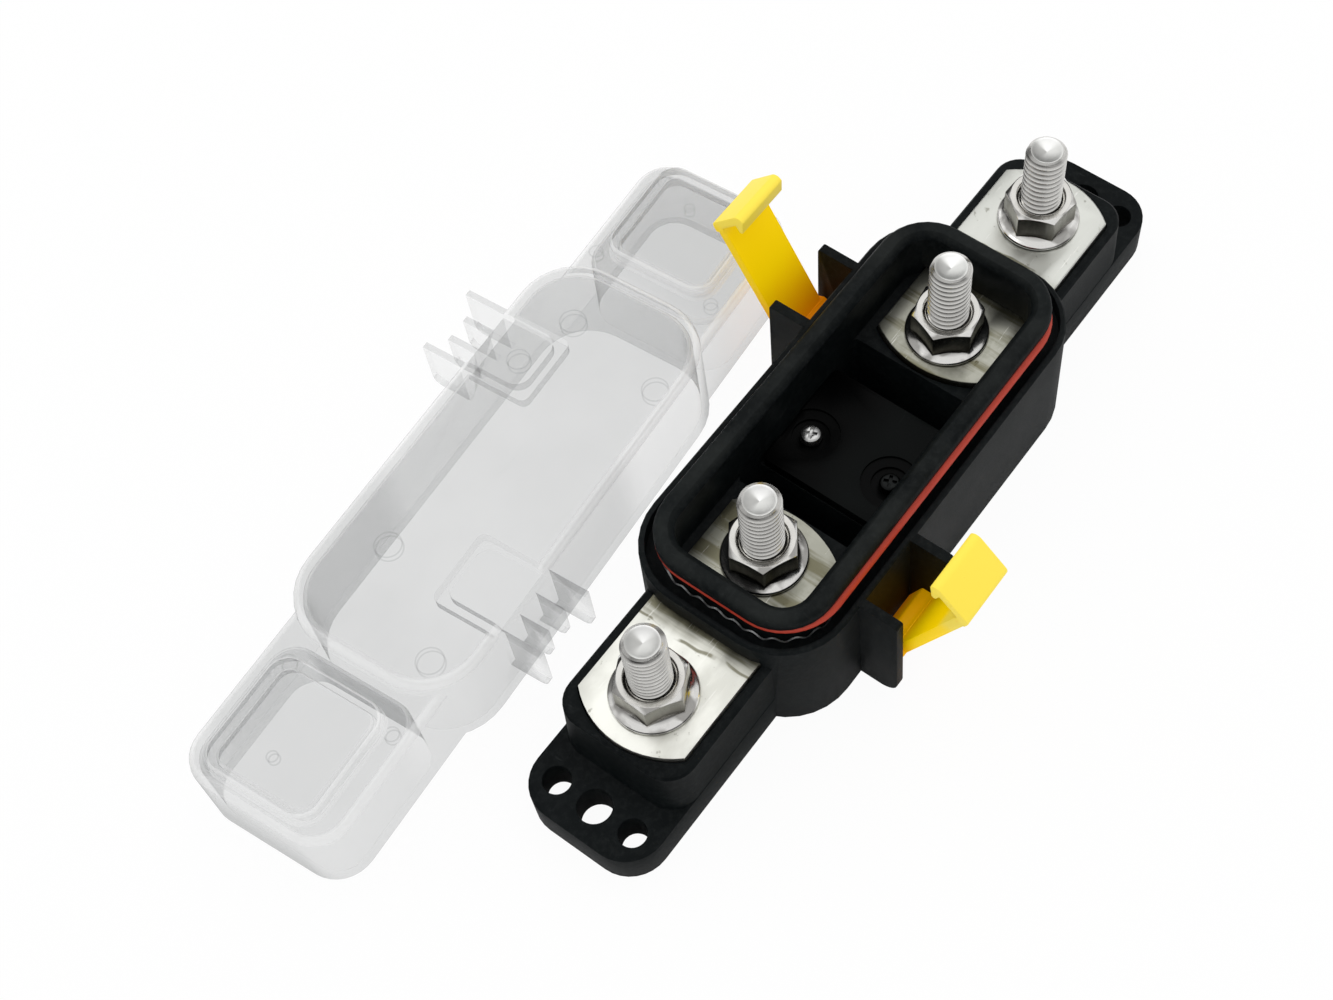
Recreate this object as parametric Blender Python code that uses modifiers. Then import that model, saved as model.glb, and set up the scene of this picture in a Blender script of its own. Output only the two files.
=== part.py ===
"""Class T fuse block: moulded housing with two bus plates, four captive studs, flange nuts,
a sealing cord, two leaning latches, a screwed chamber insert and a clear cover lying beside it.

Metres, Z up. The origin is the middle of the housing's underside; X runs along the block.
"""
import math

import bmesh
import bpy
from mathutils import Matrix

MM = 0.001

# Clearances
GAP = 0.3 * MM
POCKET_CLEARANCE = 0.35 * MM
LATCH_SIDE_CLEARANCE = 0.45 * MM
OVERLAP = 1.0 * MM
THROUGH = 2.0 * MM

# Roundness of the outlines
CORNER_STEPS = 8
ARC_STEPS = 14
CIRCLE_STEPS = 48
SMALL_CIRCLE_STEPS = 32
HEX_SIDES = 6
MERGE_DISTANCE = 0.00001

# Tub around the fuse chamber
TUB_HALF_LENGTH = 56.2 * MM
TUB_HALF_WIDTH = 25.25 * MM
TUB_CORNER = 16.2 * MM
TUB_TOP_HALF_LENGTH = 55.82 * MM
TUB_TOP_HALF_WIDTH = 24.83 * MM
TUB_TOP_CORNER = 15.9 * MM
TUB_TOP = 32.0 * MM
TUB_EDGE = 0.45 * MM
CHANNEL_HALF_LENGTH = 54.5 * MM
CHANNEL_HALF_WIDTH = 23.5 * MM
CHANNEL_CORNER = 14.6 * MM
CHANNEL_FLOOR = 27.6 * MM

# Lip around the chamber with the groove for the sealing cord
LIP_HALF_LENGTH = 52.1 * MM
LIP_HALF_WIDTH = 21.3 * MM
LIP_CORNER = 12.2 * MM
LIP_TOP = 38.6 * MM
LIP_ROUND = 1.5 * MM
LIP_ROUND_STEPS = 4
LIP_STEM_INSET = 1.1 * MM
GROOVE_HALF_LENGTH = 49.4 * MM
GROOVE_HALF_WIDTH = 19.7 * MM
GROOVE_CORNER = 11.2 * MM
GROOVE_BOTTOM = 33.0 * MM
GROOVE_TOP = 35.9 * MM
CORD_RADIUS = 1.15 * MM
CORD_HALF_LENGTH = 50.9 * MM
CORD_HALF_WIDTH = 21.2 * MM
CORD_CORNER = 12.7 * MM

# Fuse chamber
CHAMBER_HALF_LENGTH = 47.2 * MM
CHAMBER_HALF_WIDTH = 16.4 * MM
CHAMBER_CORNER = 6.5 * MM
CHAMBER_CHAMFER = 1.4 * MM
PEDESTAL_TOP = 24.5 * MM
PEDESTAL_X = 22.2 * MM
SADDLE_HALF_LENGTH = 14.0 * MM
SADDLE_TOP = 19.4 * MM
TRENCH_FLOOR = 5.0 * MM

# Screwed insert on the saddle
INSERT_THICKNESS = 3.0 * MM
INSERT_HALF_LENGTH = 13.9 * MM
INSERT_HALF_WIDTH = 15.95 * MM
INSERT_CORNER = 1.0 * MM
SCREW_X = -3.1 * MM
SCREW_Y = 10.6 * MM
DISH_RADIUS = 6.6 * MM
DISH_DEPTH = 0.7 * MM
COUNTERBORE_RADIUS = 4.3 * MM
COUNTERBORE_DEPTH = 1.5 * MM
SCREW_HOLE_RADIUS = 1.85 * MM
SCREW_RADIUS = 1.5 * MM
SCREW_LENGTH = 9.0 * MM
SCREW_HEAD_RADIUS = 2.45 * MM
SCREW_HEAD_HEIGHT = 1.8 * MM
SCREW_HEAD_EDGE = 0.9 * MM
SCREW_HEAD_SHOULDER = 0.3 * MM
SCREW_HOLE_EXTRA_DEPTH = 1.2 * MM
CROSS_LENGTH = 3.0 * MM
CROSS_WIDTH = 0.8 * MM
CROSS_DEPTH = 1.0 * MM
CROSS_TURN = 22.5

# Cored pockets in the underside
CORE_WALL = 3.2 * MM
CORE_CEILING = 13.2 * MM
CORE_CORNER = 2.5 * MM

# Places of the studs along the block
STUD_INNER_X = 34.55 * MM
STUD_OUTER_STANDOFF = 16.78 * MM
STUD_OUTER_X = TUB_TOP_HALF_LENGTH + STUD_OUTER_STANDOFF

# Bus plates
PLATE_HALF_WIDTH = 13.75 * MM
PLATE_BOTTOM = 23.1 * MM
PLATE_THICKNESS = 3.0 * MM
PLATE_OUTER_REACH = 7.7 * MM
PLATE_OUTER_ARCH = 5.3 * MM
PLATE_OUTER_X = STUD_OUTER_X + PLATE_OUTER_REACH
PLATE_OUTER_APEX = PLATE_OUTER_X + PLATE_OUTER_ARCH
PLATE_INNER_X = 27.3 * MM
PLATE_INNER_APEX = 23.0 * MM
PLATE_HOLE_RADIUS = 5.2 * MM

# End blocks that carry the outer halves of the bus plates
BLOCK_END_MARGIN = 1.4 * MM
BLOCK_END_DRAFT = 1.3 * MM
BLOCK_TOP_HALF_LENGTH = PLATE_OUTER_APEX + BLOCK_END_MARGIN
BLOCK_HALF_LENGTH = BLOCK_TOP_HALF_LENGTH + BLOCK_END_DRAFT
BLOCK_HALF_WIDTH = 16.36 * MM
BLOCK_TOP_HALF_WIDTH = 16.2 * MM
BLOCK_CORNER = 6.6 * MM
BLOCK_TOP = 24.9 * MM
BLOCK_EDGE = 0.5 * MM

# Housing slab with its drilled ears
EAR_HOLE_STANDOFF = 6.84 * MM
EAR_HOLE_X = BLOCK_HALF_LENGTH + EAR_HOLE_STANDOFF
EAR_HOLE_RADIUS = 3.85 * MM
EAR_END_MARGIN = 7.46 * MM
SLAB_HALF_LENGTH = EAR_HOLE_X + EAR_END_MARGIN
SLAB_HALF_WIDTH = 16.4 * MM
SLAB_CORNER = 9.0 * MM
SLAB_HEIGHT = 9.6 * MM
EAR_SIDE_HOLE_Y = 10.0 * MM
EAR_SIDE_HOLE_RADIUS = 3.17 * MM

# Studs and flange nuts
STUD_RADIUS = 4.7 * MM
STUD_TIP = 51.1 * MM
STUD_CHAMFER = 1.1 * MM
STUD_HEAD_FLATS = 14.2 * MM
STUD_HEAD_HEIGHT = 5.6 * MM
NUT_FLATS = 14.3 * MM
NUT_HEIGHT = 8.3 * MM
NUT_FLANGE_RADIUS = 9.5 * MM
NUT_FLANGE_EDGE = 1.2 * MM
NUT_FLANGE_HEIGHT = 2.6 * MM
NUT_CHAMFER = 1.0 * MM
NUT_TURNS = {
    "outer_near": -1.0,
    "inner_near": 6.5,
    "inner_far": -19.5,
    "outer_far": 24.0,
}

# Latch ears on the tub and the latches between them
EAR_INNER_X = 14.1 * MM
EAR_GAP_START = 16.4 * MM
EAR_GAP_END = 32.8 * MM
EAR_OUTER_X = 35.0 * MM
EAR_ROOT_Y = 23.9 * MM
EAR_REACH = 34.7 * MM
EAR_TOP_REACH = 34.2 * MM
EAR_BOTTOM_CORNER = 4.5 * MM
EAR_TOP_CORNER = 0.8 * MM
PIVOT_Y = 29.1 * MM
PIVOT_Z = 8.8 * MM
PIVOT_HOLE_RADIUS = 2.1 * MM
PIVOT_HOLE_DEPTH = 1.4 * MM
TRUNNION_RADIUS = 1.8 * MM
TRUNNION_END_CLEARANCE = 0.3 * MM
LATCH_STRAP_WIDTH = 13.4 * MM
LATCH_LIP_WIDTH = 14.4 * MM
LATCH_STRAP_THICKNESS = 2.6 * MM
LATCH_HEIGHT = 44.0 * MM
LATCH_TOP_SLOPE = 19.0
LATCH_TOP_CORNER = 1.5 * MM
LATCH_LIP_THICKNESS = 2.1 * MM
LATCH_LIP_REACH = 8.4 * MM
LATCH_TIP_RADIUS = 1.6 * MM
LATCH_BEAD_RADIUS = 0.7 * MM
LATCH_BEAD_X = 6.2 * MM
LATCH_BEAD_DROP = 1.7 * MM
LATCH_BEAD_START = 225.0
LATCH_BEAD_END = 330.0
LATCH_LIP_ROOT = 1.2 * MM
LATCH_NECK_FILLET = 0.8 * MM
LATCH_HEEL_THICKNESS = 2.9 * MM
LATCH_HEEL_FILLET = 1.9 * MM
LATCH_HEEL_HEIGHT = 8.1 * MM
LATCH_HEEL_SLOPE = 26.0
LATCH_HEEL_CORNER = 0.8 * MM
LATCH_HEEL_DROP = 2.4 * MM
LATCH_SHOULDER = 7.3 * MM
LATCH_TAIL = 4.4 * MM
LATCH_TAIL_INNER = 1.4 * MM
LATCH_EDGE = 0.35 * MM
LATCH_LEAN_BACK = 28.0
LATCH_LEAN_FRONT = 23.6

# Clear cover
COVER_X = -49.0 * MM
COVER_Y = 60.0 * MM
COVER_YAW = 4.5
COVER_WALL = 1.8 * MM
COVER_HALF_LENGTH = 54.3 * MM
COVER_HALF_WIDTH = 23.3 * MM
COVER_CORNER = 14.7 * MM
COVER_HEIGHT = 26.6 * MM
COVER_ROUND = 2.6 * MM
COVER_DRAFT = 0.3 * MM
DOME_OFFSET = 0.6 * MM
DOME_X = STUD_OUTER_X + DOME_OFFSET
FLAP_END_REACH = 17.3 * MM
FLAP_HALF_LENGTH = DOME_X + FLAP_END_REACH
FLAP_HALF_WIDTH = 20.0 * MM
FLAP_CORNER = 8.5 * MM
FLAP_HEIGHT = 22.0 * MM
FLAP_ROUND = 2.4 * MM
FLAP_CAVITY_START = 54.5 * MM
DOME_HALF_LENGTH = 14.2 * MM
DOME_HALF_WIDTH = 14.0 * MM
DOME_CORNER = 5.0 * MM
DOME_HEIGHT = 26.2 * MM
DOME_ROUND = 0.9 * MM
DOME_FLARE = 0.7 * MM
ROUND_STEPS = 4
PAD_X = 24.7 * MM
PAD_INNER_Y = 7.2 * MM
PAD_DEPTH = 2.9 * MM
PAD_CORNER = 3.6 * MM
FIN_THICKNESS = 1.6 * MM
FIN_OUTER_OFFSET = 8.2 * MM
FIN_INNER_OFFSET = 2.9 * MM
FIN_OUTER_REACH = 10.0 * MM
FIN_INNER_REACH = 7.3 * MM
FIN_OUTER_BOTTOM = 10.6 * MM
FIN_INNER_BOTTOM = 12.6 * MM
FIN_ROOT_DEPTH = 0.9 * MM
FIN_CORNER = 2.4 * MM
FIN_TOP_DROP = 0.25 * MM

SIDES = (1, -1)


def clear_scene():
    for item in list(bpy.data.objects):
        bpy.data.objects.remove(item, do_unlink=True)


def new_collection(name):
    collection = bpy.data.collections.new(name)
    bpy.context.scene.collection.children.link(collection)
    return collection


def make_material(name, color, roughness, metallic=0.0, transmission=0.0):
    material = bpy.data.materials.new(name)
    material.use_nodes = True
    shader = material.node_tree.nodes["Principled BSDF"]
    shader.inputs["Base Color"].default_value = (*color, 1.0)
    shader.inputs["Roughness"].default_value = roughness
    shader.inputs["Metallic"].default_value = metallic
    shader.inputs["Transmission Weight"].default_value = transmission
    return material


def as_cutter(item):
    item.hide_render = True
    item.display_type = "WIRE"
    return item


def arc(cx, cy, radius, start, end, steps):
    points = []
    for i in range(steps + 1):
        angle = start + (end - start) * i / steps
        points.append((cx + radius * math.cos(angle), cy + radius * math.sin(angle)))
    return points


def rounded_rect(x0, x1, y0, y1, radius, steps=CORNER_STEPS):
    """Anticlockwise outline of a rectangle with equal corner radii."""
    quarter = math.pi / 2
    points = arc(x1 - radius, y1 - radius, radius, 0, quarter, steps)
    points += arc(x0 + radius, y1 - radius, radius, quarter, 2 * quarter, steps)
    points += arc(x0 + radius, y0 + radius, radius, 2 * quarter, 3 * quarter, steps)
    points += arc(x1 - radius, y0 + radius, radius, 3 * quarter, 4 * quarter, steps)
    return points


def centred_rect(half_length, half_width, radius, steps=CORNER_STEPS):
    return rounded_rect(-half_length, half_length, -half_width, half_width, radius, steps)


def circle(cx, cy, radius, steps=CIRCLE_STEPS):
    return arc(cx, cy, radius, 0, 2 * math.pi, steps)[:-1]


def to_mesh(curve_object, collection):
    """Replaces a curve object by the mesh it makes."""
    bpy.context.view_layer.update()
    graph = bpy.context.evaluated_depsgraph_get()
    name = curve_object.name
    matrix = curve_object.matrix_world.copy()
    mesh = bpy.data.meshes.new_from_object(curve_object.evaluated_get(graph))
    bpy.data.objects.remove(curve_object, do_unlink=True)
    body = bmesh.new()
    body.from_mesh(mesh)
    bmesh.ops.remove_doubles(body, verts=body.verts, dist=MERGE_DISTANCE)
    bmesh.ops.recalc_face_normals(body, faces=body.faces)
    body.to_mesh(mesh)
    body.free()
    item = bpy.data.objects.new(name, mesh)
    item.matrix_world = matrix
    collection.objects.link(item)
    return item


def prism(name, outlines, low, high, collection, turn=None):
    """Flat outlines (the first outside, the rest holes) extruded from low to high."""
    curve = bpy.data.curves.new(name, "CURVE")
    curve.dimensions = "2D"
    curve.fill_mode = "BOTH"
    curve.extrude = (high - low) / 2
    for outline in outlines:
        spline = curve.splines.new("POLY")
        spline.points.add(len(outline) - 1)
        for point, (x, y) in zip(spline.points, outline):
            point.co = (x, y, 0, 1)
        spline.use_cyclic_u = True
    item = bpy.data.objects.new(name, curve)
    matrix = Matrix.Translation((0, 0, (high + low) / 2))
    item.matrix_world = turn @ matrix if turn is not None else matrix
    collection.objects.link(item)
    return to_mesh(item, collection)


def loft(name, rings, collection):
    """Closed solid through outlines of equal point count at rising heights."""
    body = bmesh.new()
    rows = []
    for outline, height in rings:
        rows.append([body.verts.new((x, y, height)) for x, y in outline])
    for lower, upper in zip(rows, rows[1:]):
        count = len(lower)
        for i in range(count):
            j = (i + 1) % count
            body.faces.new((lower[i], lower[j], upper[j], upper[i]))
    body.faces.new(list(reversed(rows[0])))
    body.faces.new(rows[-1])
    mesh = bpy.data.meshes.new(name)
    body.to_mesh(mesh)
    body.free()
    item = bpy.data.objects.new(name, mesh)
    collection.objects.link(item)
    return item


def revolve(name, profile, collection, steps=CIRCLE_STEPS):
    """Turned solid from a profile of (radius, height) points, top to bottom."""
    mesh = bpy.data.meshes.new(name)
    edges = [(i, i + 1) for i in range(len(profile) - 1)]
    mesh.from_pydata([(radius, 0, height) for radius, height in profile], edges, [])
    item = bpy.data.objects.new(name, mesh)
    collection.objects.link(item)
    screw = item.modifiers.new("turn", "SCREW")
    screw.axis = "Z"
    screw.steps = steps
    screw.render_steps = steps
    screw.use_merge_vertices = True
    screw.merge_threshold = MERGE_DISTANCE
    return item


def cylinder(name, radius, low, high, sides, collection, turn=None):
    body = bmesh.new()
    bmesh.ops.create_cone(
        body,
        cap_ends=True,
        segments=sides,
        radius1=radius,
        radius2=radius,
        depth=high - low,
        matrix=Matrix.Translation((0, 0, (high + low) / 2)),
    )
    mesh = bpy.data.meshes.new(name)
    body.to_mesh(mesh)
    body.free()
    item = bpy.data.objects.new(name, mesh)
    if turn is not None:
        item.matrix_world = turn
    collection.objects.link(item)
    return item


def boolean(target, other, operation="DIFFERENCE"):
    modifier = target.modifiers.new(f"{operation.lower()}_{other.name}", "BOOLEAN")
    modifier.operation = operation
    modifier.solver = "EXACT"
    modifier.object = as_cutter(other)


def half_turn():
    return Matrix.Rotation(math.pi, 4, "Z")


def place_axis_x(x, y, z):
    """Moves a shape made along Z so that it runs along X from the given point."""
    return Matrix.Translation((x, y, z)) @ Matrix.Rotation(math.pi / 2, 4, "Y")


def side_profile_matrix():
    """Turns outline coordinates (x, y) into world (Y, Z) and the extrusion into X."""
    return Matrix(((0, 0, 1, 0), (1, 0, 0, 0), (0, 1, 0, 0), (0, 0, 0, 1)))


def plate_outline(offset):
    """Bus plate with both ends arched, grown outwards by the offset."""

    def arched_end(corner_x, apex_x, direction):
        rise = abs(apex_x - corner_x)
        radius = (PLATE_HALF_WIDTH**2 + rise**2) / (2 * rise)
        centre = apex_x - direction * radius
        grown = radius + offset
        half = PLATE_HALF_WIDTH + offset
        spread = math.asin(half / grown)
        points = arc(centre, 0, grown, -spread, spread, ARC_STEPS)
        if direction > 0:
            return points
        return [(2 * centre - x, -y) for x, y in points]

    return arched_end(PLATE_OUTER_X, PLATE_OUTER_APEX, 1) + arched_end(
        PLATE_INNER_X, PLATE_INNER_APEX, -1
    )


def edge_rings(half_length, half_width, radius, low, high, rounding, steps=ROUND_STEPS, draft=0.0):
    """Rings of a box with a drafted wall and a rounded top edge."""
    rings = [(centred_rect(half_length, half_width, radius), low)]
    for i in range(steps + 1):
        angle = (math.pi / 2) * i / steps
        inset = draft + rounding * (1 - math.cos(angle))
        height = high - rounding + rounding * math.sin(angle)
        outline = centred_rect(half_length - inset, half_width - inset, radius - inset)
        rings.append((outline, height))
    return rings


def shifted(rings, x):
    return [([(px + x, py) for px, py in outline], height) for outline, height in rings]


def mirrored(rings):
    return [([(-px, -py) for px, py in outline], height) for outline, height in rings]


def latch_ear_outline():
    quarter = math.pi / 2
    low = EAR_BOTTOM_CORNER
    top = EAR_TOP_CORNER
    points = [(EAR_ROOT_Y, 0)]
    points += arc(EAR_REACH - low, low, low, -quarter, 0, CORNER_STEPS)
    points += arc(EAR_TOP_REACH - top, TUB_TOP - top, top, 0, quarter, CORNER_STEPS)
    points.append((EAR_ROOT_Y, TUB_TOP))
    return points


def build_housing(parts, cutters, material):
    slab_outline = centred_rect(SLAB_HALF_LENGTH, SLAB_HALF_WIDTH, SLAB_CORNER)
    housing = loft("base_housing", [(slab_outline, 0), (slab_outline, SLAB_HEIGHT)], parts)
    housing.data.materials.append(material)

    block = loft(
        "end_blocks",
        [
            (centred_rect(BLOCK_HALF_LENGTH, BLOCK_HALF_WIDTH, BLOCK_CORNER), OVERLAP),
            (
                centred_rect(BLOCK_TOP_HALF_LENGTH, BLOCK_TOP_HALF_WIDTH, BLOCK_CORNER),
                BLOCK_TOP - BLOCK_EDGE,
            ),
            (
                centred_rect(
                    BLOCK_TOP_HALF_LENGTH - BLOCK_EDGE,
                    BLOCK_TOP_HALF_WIDTH - BLOCK_EDGE,
                    BLOCK_CORNER - BLOCK_EDGE,
                ),
                BLOCK_TOP,
            ),
        ],
        cutters,
    )
    boolean(housing, block, "UNION")

    tub = loft(
        "tub",
        [
            (centred_rect(TUB_HALF_LENGTH, TUB_HALF_WIDTH, TUB_CORNER), 0),
            (
                centred_rect(TUB_TOP_HALF_LENGTH, TUB_TOP_HALF_WIDTH, TUB_TOP_CORNER),
                TUB_TOP - TUB_EDGE,
            ),
            (
                centred_rect(
                    TUB_TOP_HALF_LENGTH - TUB_EDGE,
                    TUB_TOP_HALF_WIDTH - TUB_EDGE,
                    TUB_TOP_CORNER - TUB_EDGE,
                ),
                TUB_TOP,
            ),
        ],
        cutters,
    )
    boolean(housing, tub, "UNION")

    for side in SIDES:
        turn = Matrix.Identity(4) if side > 0 else half_turn()
        for label, low, high in (
            ("inner", EAR_INNER_X, EAR_GAP_START),
            ("outer", EAR_GAP_END, EAR_OUTER_X),
        ):
            ear = prism(
                f"latch_ear_{label}_{side}",
                [latch_ear_outline()],
                low,
                high,
                cutters,
                turn @ side_profile_matrix(),
            )
            boolean(housing, ear, "UNION")

    channel = prism(
        "channel",
        [centred_rect(CHANNEL_HALF_LENGTH, CHANNEL_HALF_WIDTH, CHANNEL_CORNER)],
        CHANNEL_FLOOR,
        TUB_TOP + THROUGH,
        cutters,
    )
    boolean(housing, channel)

    stem = centred_rect(
        LIP_HALF_LENGTH - LIP_STEM_INSET, LIP_HALF_WIDTH - LIP_STEM_INSET, LIP_CORNER
    )
    groove = centred_rect(GROOVE_HALF_LENGTH, GROOVE_HALF_WIDTH, GROOVE_CORNER)
    rings = [(stem, CHANNEL_FLOOR - OVERLAP), (stem, GROOVE_BOTTOM), (groove, GROOVE_BOTTOM)]
    rings.append((groove, GROOVE_TOP))
    rings += edge_rings(
        LIP_HALF_LENGTH,
        LIP_HALF_WIDTH,
        LIP_CORNER,
        GROOVE_TOP,
        LIP_TOP,
        LIP_ROUND,
        LIP_ROUND_STEPS,
    )
    boolean(housing, loft("lip", rings, cutters), "UNION")

    chamber = [
        (centred_rect(CHAMBER_HALF_LENGTH, CHAMBER_HALF_WIDTH, CHAMBER_CORNER), PEDESTAL_TOP),
        (
            centred_rect(CHAMBER_HALF_LENGTH, CHAMBER_HALF_WIDTH, CHAMBER_CORNER),
            LIP_TOP - CHAMBER_CHAMFER,
        ),
        (
            centred_rect(
                CHAMBER_HALF_LENGTH + CHAMBER_CHAMFER,
                CHAMBER_HALF_WIDTH + CHAMBER_CHAMFER,
                CHAMBER_CORNER + CHAMBER_CHAMFER,
            ),
            LIP_TOP,
        ),
        (
            centred_rect(
                CHAMBER_HALF_LENGTH + CHAMBER_CHAMFER,
                CHAMBER_HALF_WIDTH + CHAMBER_CHAMFER,
                CHAMBER_CORNER + CHAMBER_CHAMFER,
            ),
            LIP_TOP + THROUGH,
        ),
    ]
    boolean(housing, loft("chamber", chamber, cutters))

    well = prism(
        "saddle_well",
        [centred_rect(PEDESTAL_X, CHAMBER_HALF_WIDTH, INSERT_CORNER)],
        SADDLE_TOP,
        PEDESTAL_TOP + OVERLAP,
        cutters,
    )
    boolean(housing, well)
    for side in SIDES:
        ends = sorted((side * SADDLE_HALF_LENGTH, side * PEDESTAL_X))
        trench = prism(
            f"trench_{side}",
            [rounded_rect(*ends, -CHAMBER_HALF_WIDTH, CHAMBER_HALF_WIDTH, INSERT_CORNER)],
            TRENCH_FLOOR,
            SADDLE_TOP + OVERLAP,
            cutters,
        )
        boolean(housing, trench)

    for side in SIDES:
        turn = Matrix.Identity(4) if side > 0 else half_turn()
        slot = prism(
            f"plate_slot_{side}",
            [plate_outline(POCKET_CLEARANCE)],
            PLATE_BOTTOM - GAP,
            PLATE_BOTTOM + PLATE_THICKNESS + GAP,
            cutters,
            turn,
        )
        boolean(housing, slot)
        for label, x in (("inner", STUD_INNER_X), ("outer", STUD_OUTER_X)):
            pocket = cylinder(
                f"head_pocket_{label}_{side}",
                (STUD_HEAD_FLATS / 2 + POCKET_CLEARANCE) / math.cos(math.pi / HEX_SIDES),
                PLATE_BOTTOM - GAP - STUD_HEAD_HEIGHT - GAP,
                PLATE_BOTTOM,
                HEX_SIDES,
                cutters,
                Matrix.Translation((side * x, 0, 0)),
            )
            boolean(housing, pocket)

    for side in SIDES:
        for y, radius in (
            (0, EAR_HOLE_RADIUS),
            (EAR_SIDE_HOLE_Y, EAR_SIDE_HOLE_RADIUS),
            (-EAR_SIDE_HOLE_Y, EAR_SIDE_HOLE_RADIUS),
        ):
            hole = cylinder(
                f"mount_hole_{side}_{len(cutters.objects)}",
                radius,
                -THROUGH,
                SLAB_HEIGHT + THROUGH,
                SMALL_CIRCLE_STEPS,
                cutters,
                Matrix.Translation((side * EAR_HOLE_X, y, 0)),
            )
            boolean(housing, hole)

    for side in SIDES:
        for label, low, high, half_width in (
            ("block", TUB_HALF_LENGTH + CORE_WALL, BLOCK_HALF_LENGTH - CORE_WALL, SLAB_HALF_WIDTH),
            ("tub", PEDESTAL_X + CORE_WALL, TUB_HALF_LENGTH - CORE_WALL, SLAB_HALF_WIDTH),
        ):
            ends = sorted((side * low, side * high))
            width = half_width - CORE_WALL
            core = prism(
                f"core_{label}_{side}",
                [rounded_rect(*ends, -width, width, CORE_CORNER)],
                -THROUGH,
                CORE_CEILING,
                cutters,
            )
            boolean(housing, core)

    for side in SIDES:
        hole = cylinder(
            f"screw_hole_{side}",
            SCREW_HOLE_RADIUS,
            SADDLE_TOP - SCREW_LENGTH - SCREW_HOLE_EXTRA_DEPTH,
            SADDLE_TOP + OVERLAP,
            SMALL_CIRCLE_STEPS,
            cutters,
            Matrix.Translation((SCREW_X, side * SCREW_Y, 0)),
        )
        boolean(housing, hole)

    for side in SIDES:
        for label, start in (
            ("inner", EAR_GAP_START - PIVOT_HOLE_DEPTH),
            ("outer", EAR_GAP_END - OVERLAP),
        ):
            ends = sorted((side * start, side * (start + PIVOT_HOLE_DEPTH + OVERLAP)))
            hole = cylinder(
                f"pivot_hole_{label}_{side}",
                PIVOT_HOLE_RADIUS,
                0,
                ends[1] - ends[0],
                SMALL_CIRCLE_STEPS,
                cutters,
                place_axis_x(ends[0], side * PIVOT_Y, PIVOT_Z),
            )
            boolean(housing, hole)


def build_insert(parts, cutters, material):
    low = SADDLE_TOP + GAP
    high = low + INSERT_THICKNESS
    outline = centred_rect(INSERT_HALF_LENGTH, INSERT_HALF_WIDTH, INSERT_CORNER)
    insert = prism("chamber_insert", [outline], low, high, parts)
    insert.data.materials.append(material)
    for side in SIDES:
        place = Matrix.Translation((SCREW_X, side * SCREW_Y, 0))
        for label, radius, depth in (
            ("dish", DISH_RADIUS, DISH_DEPTH),
            ("counterbore", COUNTERBORE_RADIUS, COUNTERBORE_DEPTH),
            ("clearance", SCREW_HOLE_RADIUS, INSERT_THICKNESS + THROUGH),
        ):
            cutter = cylinder(
                f"insert_{label}_{side}",
                radius,
                high - depth,
                high + THROUGH,
                CIRCLE_STEPS,
                cutters,
                place,
            )
            boolean(insert, cutter)
    return insert


def build_screws(parts, cutters, material):
    seat = SADDLE_TOP + GAP + INSERT_THICKNESS - COUNTERBORE_DEPTH + GAP
    top = seat + SCREW_HEAD_HEIGHT
    profile = [
        (0, top),
        (SCREW_HEAD_RADIUS - SCREW_HEAD_EDGE, top),
        (SCREW_HEAD_RADIUS - SCREW_HEAD_SHOULDER, top - SCREW_HEAD_SHOULDER),
        (SCREW_HEAD_RADIUS, top - SCREW_HEAD_EDGE),
        (SCREW_HEAD_RADIUS, seat),
        (SCREW_RADIUS, seat),
        (SCREW_RADIUS, SADDLE_TOP - SCREW_LENGTH + SCREW_RADIUS),
        (0, SADDLE_TOP - SCREW_LENGTH),
    ]
    for side, label in ((1, "back"), (-1, "front")):
        place = Matrix.Translation((SCREW_X, side * SCREW_Y, 0))
        screw = revolve(f"chamber_screw_{label}", profile, parts, SMALL_CIRCLE_STEPS)
        screw.matrix_world = place
        screw.data.materials.append(material)
        for turn, length, width in (("a", CROSS_LENGTH, CROSS_WIDTH), ("b", CROSS_WIDTH, CROSS_LENGTH)):
            x = length / 2
            y = width / 2
            bar = prism(
                f"cross_{turn}_{label}",
                [[(-x, -y), (x, -y), (x, y), (-x, y)]],
                top - CROSS_DEPTH,
                top + OVERLAP,
                cutters,
                place @ Matrix.Rotation(math.radians(CROSS_TURN), 4, "Z"),
            )
            boolean(screw, bar)


def build_plates(parts, material):
    for side, label in ((-1, "near"), (1, "far")):
        turn = Matrix.Identity(4) if side > 0 else half_turn()
        outlines = [plate_outline(0)]
        outlines.append(circle(STUD_INNER_X, 0, PLATE_HOLE_RADIUS))
        outlines.append(circle(STUD_OUTER_X, 0, PLATE_HOLE_RADIUS))
        plate = prism(
            f"bus_plate_{label}",
            outlines,
            PLATE_BOTTOM,
            PLATE_BOTTOM + PLATE_THICKNESS,
            parts,
            turn,
        )
        plate.data.materials.append(material)


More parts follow.
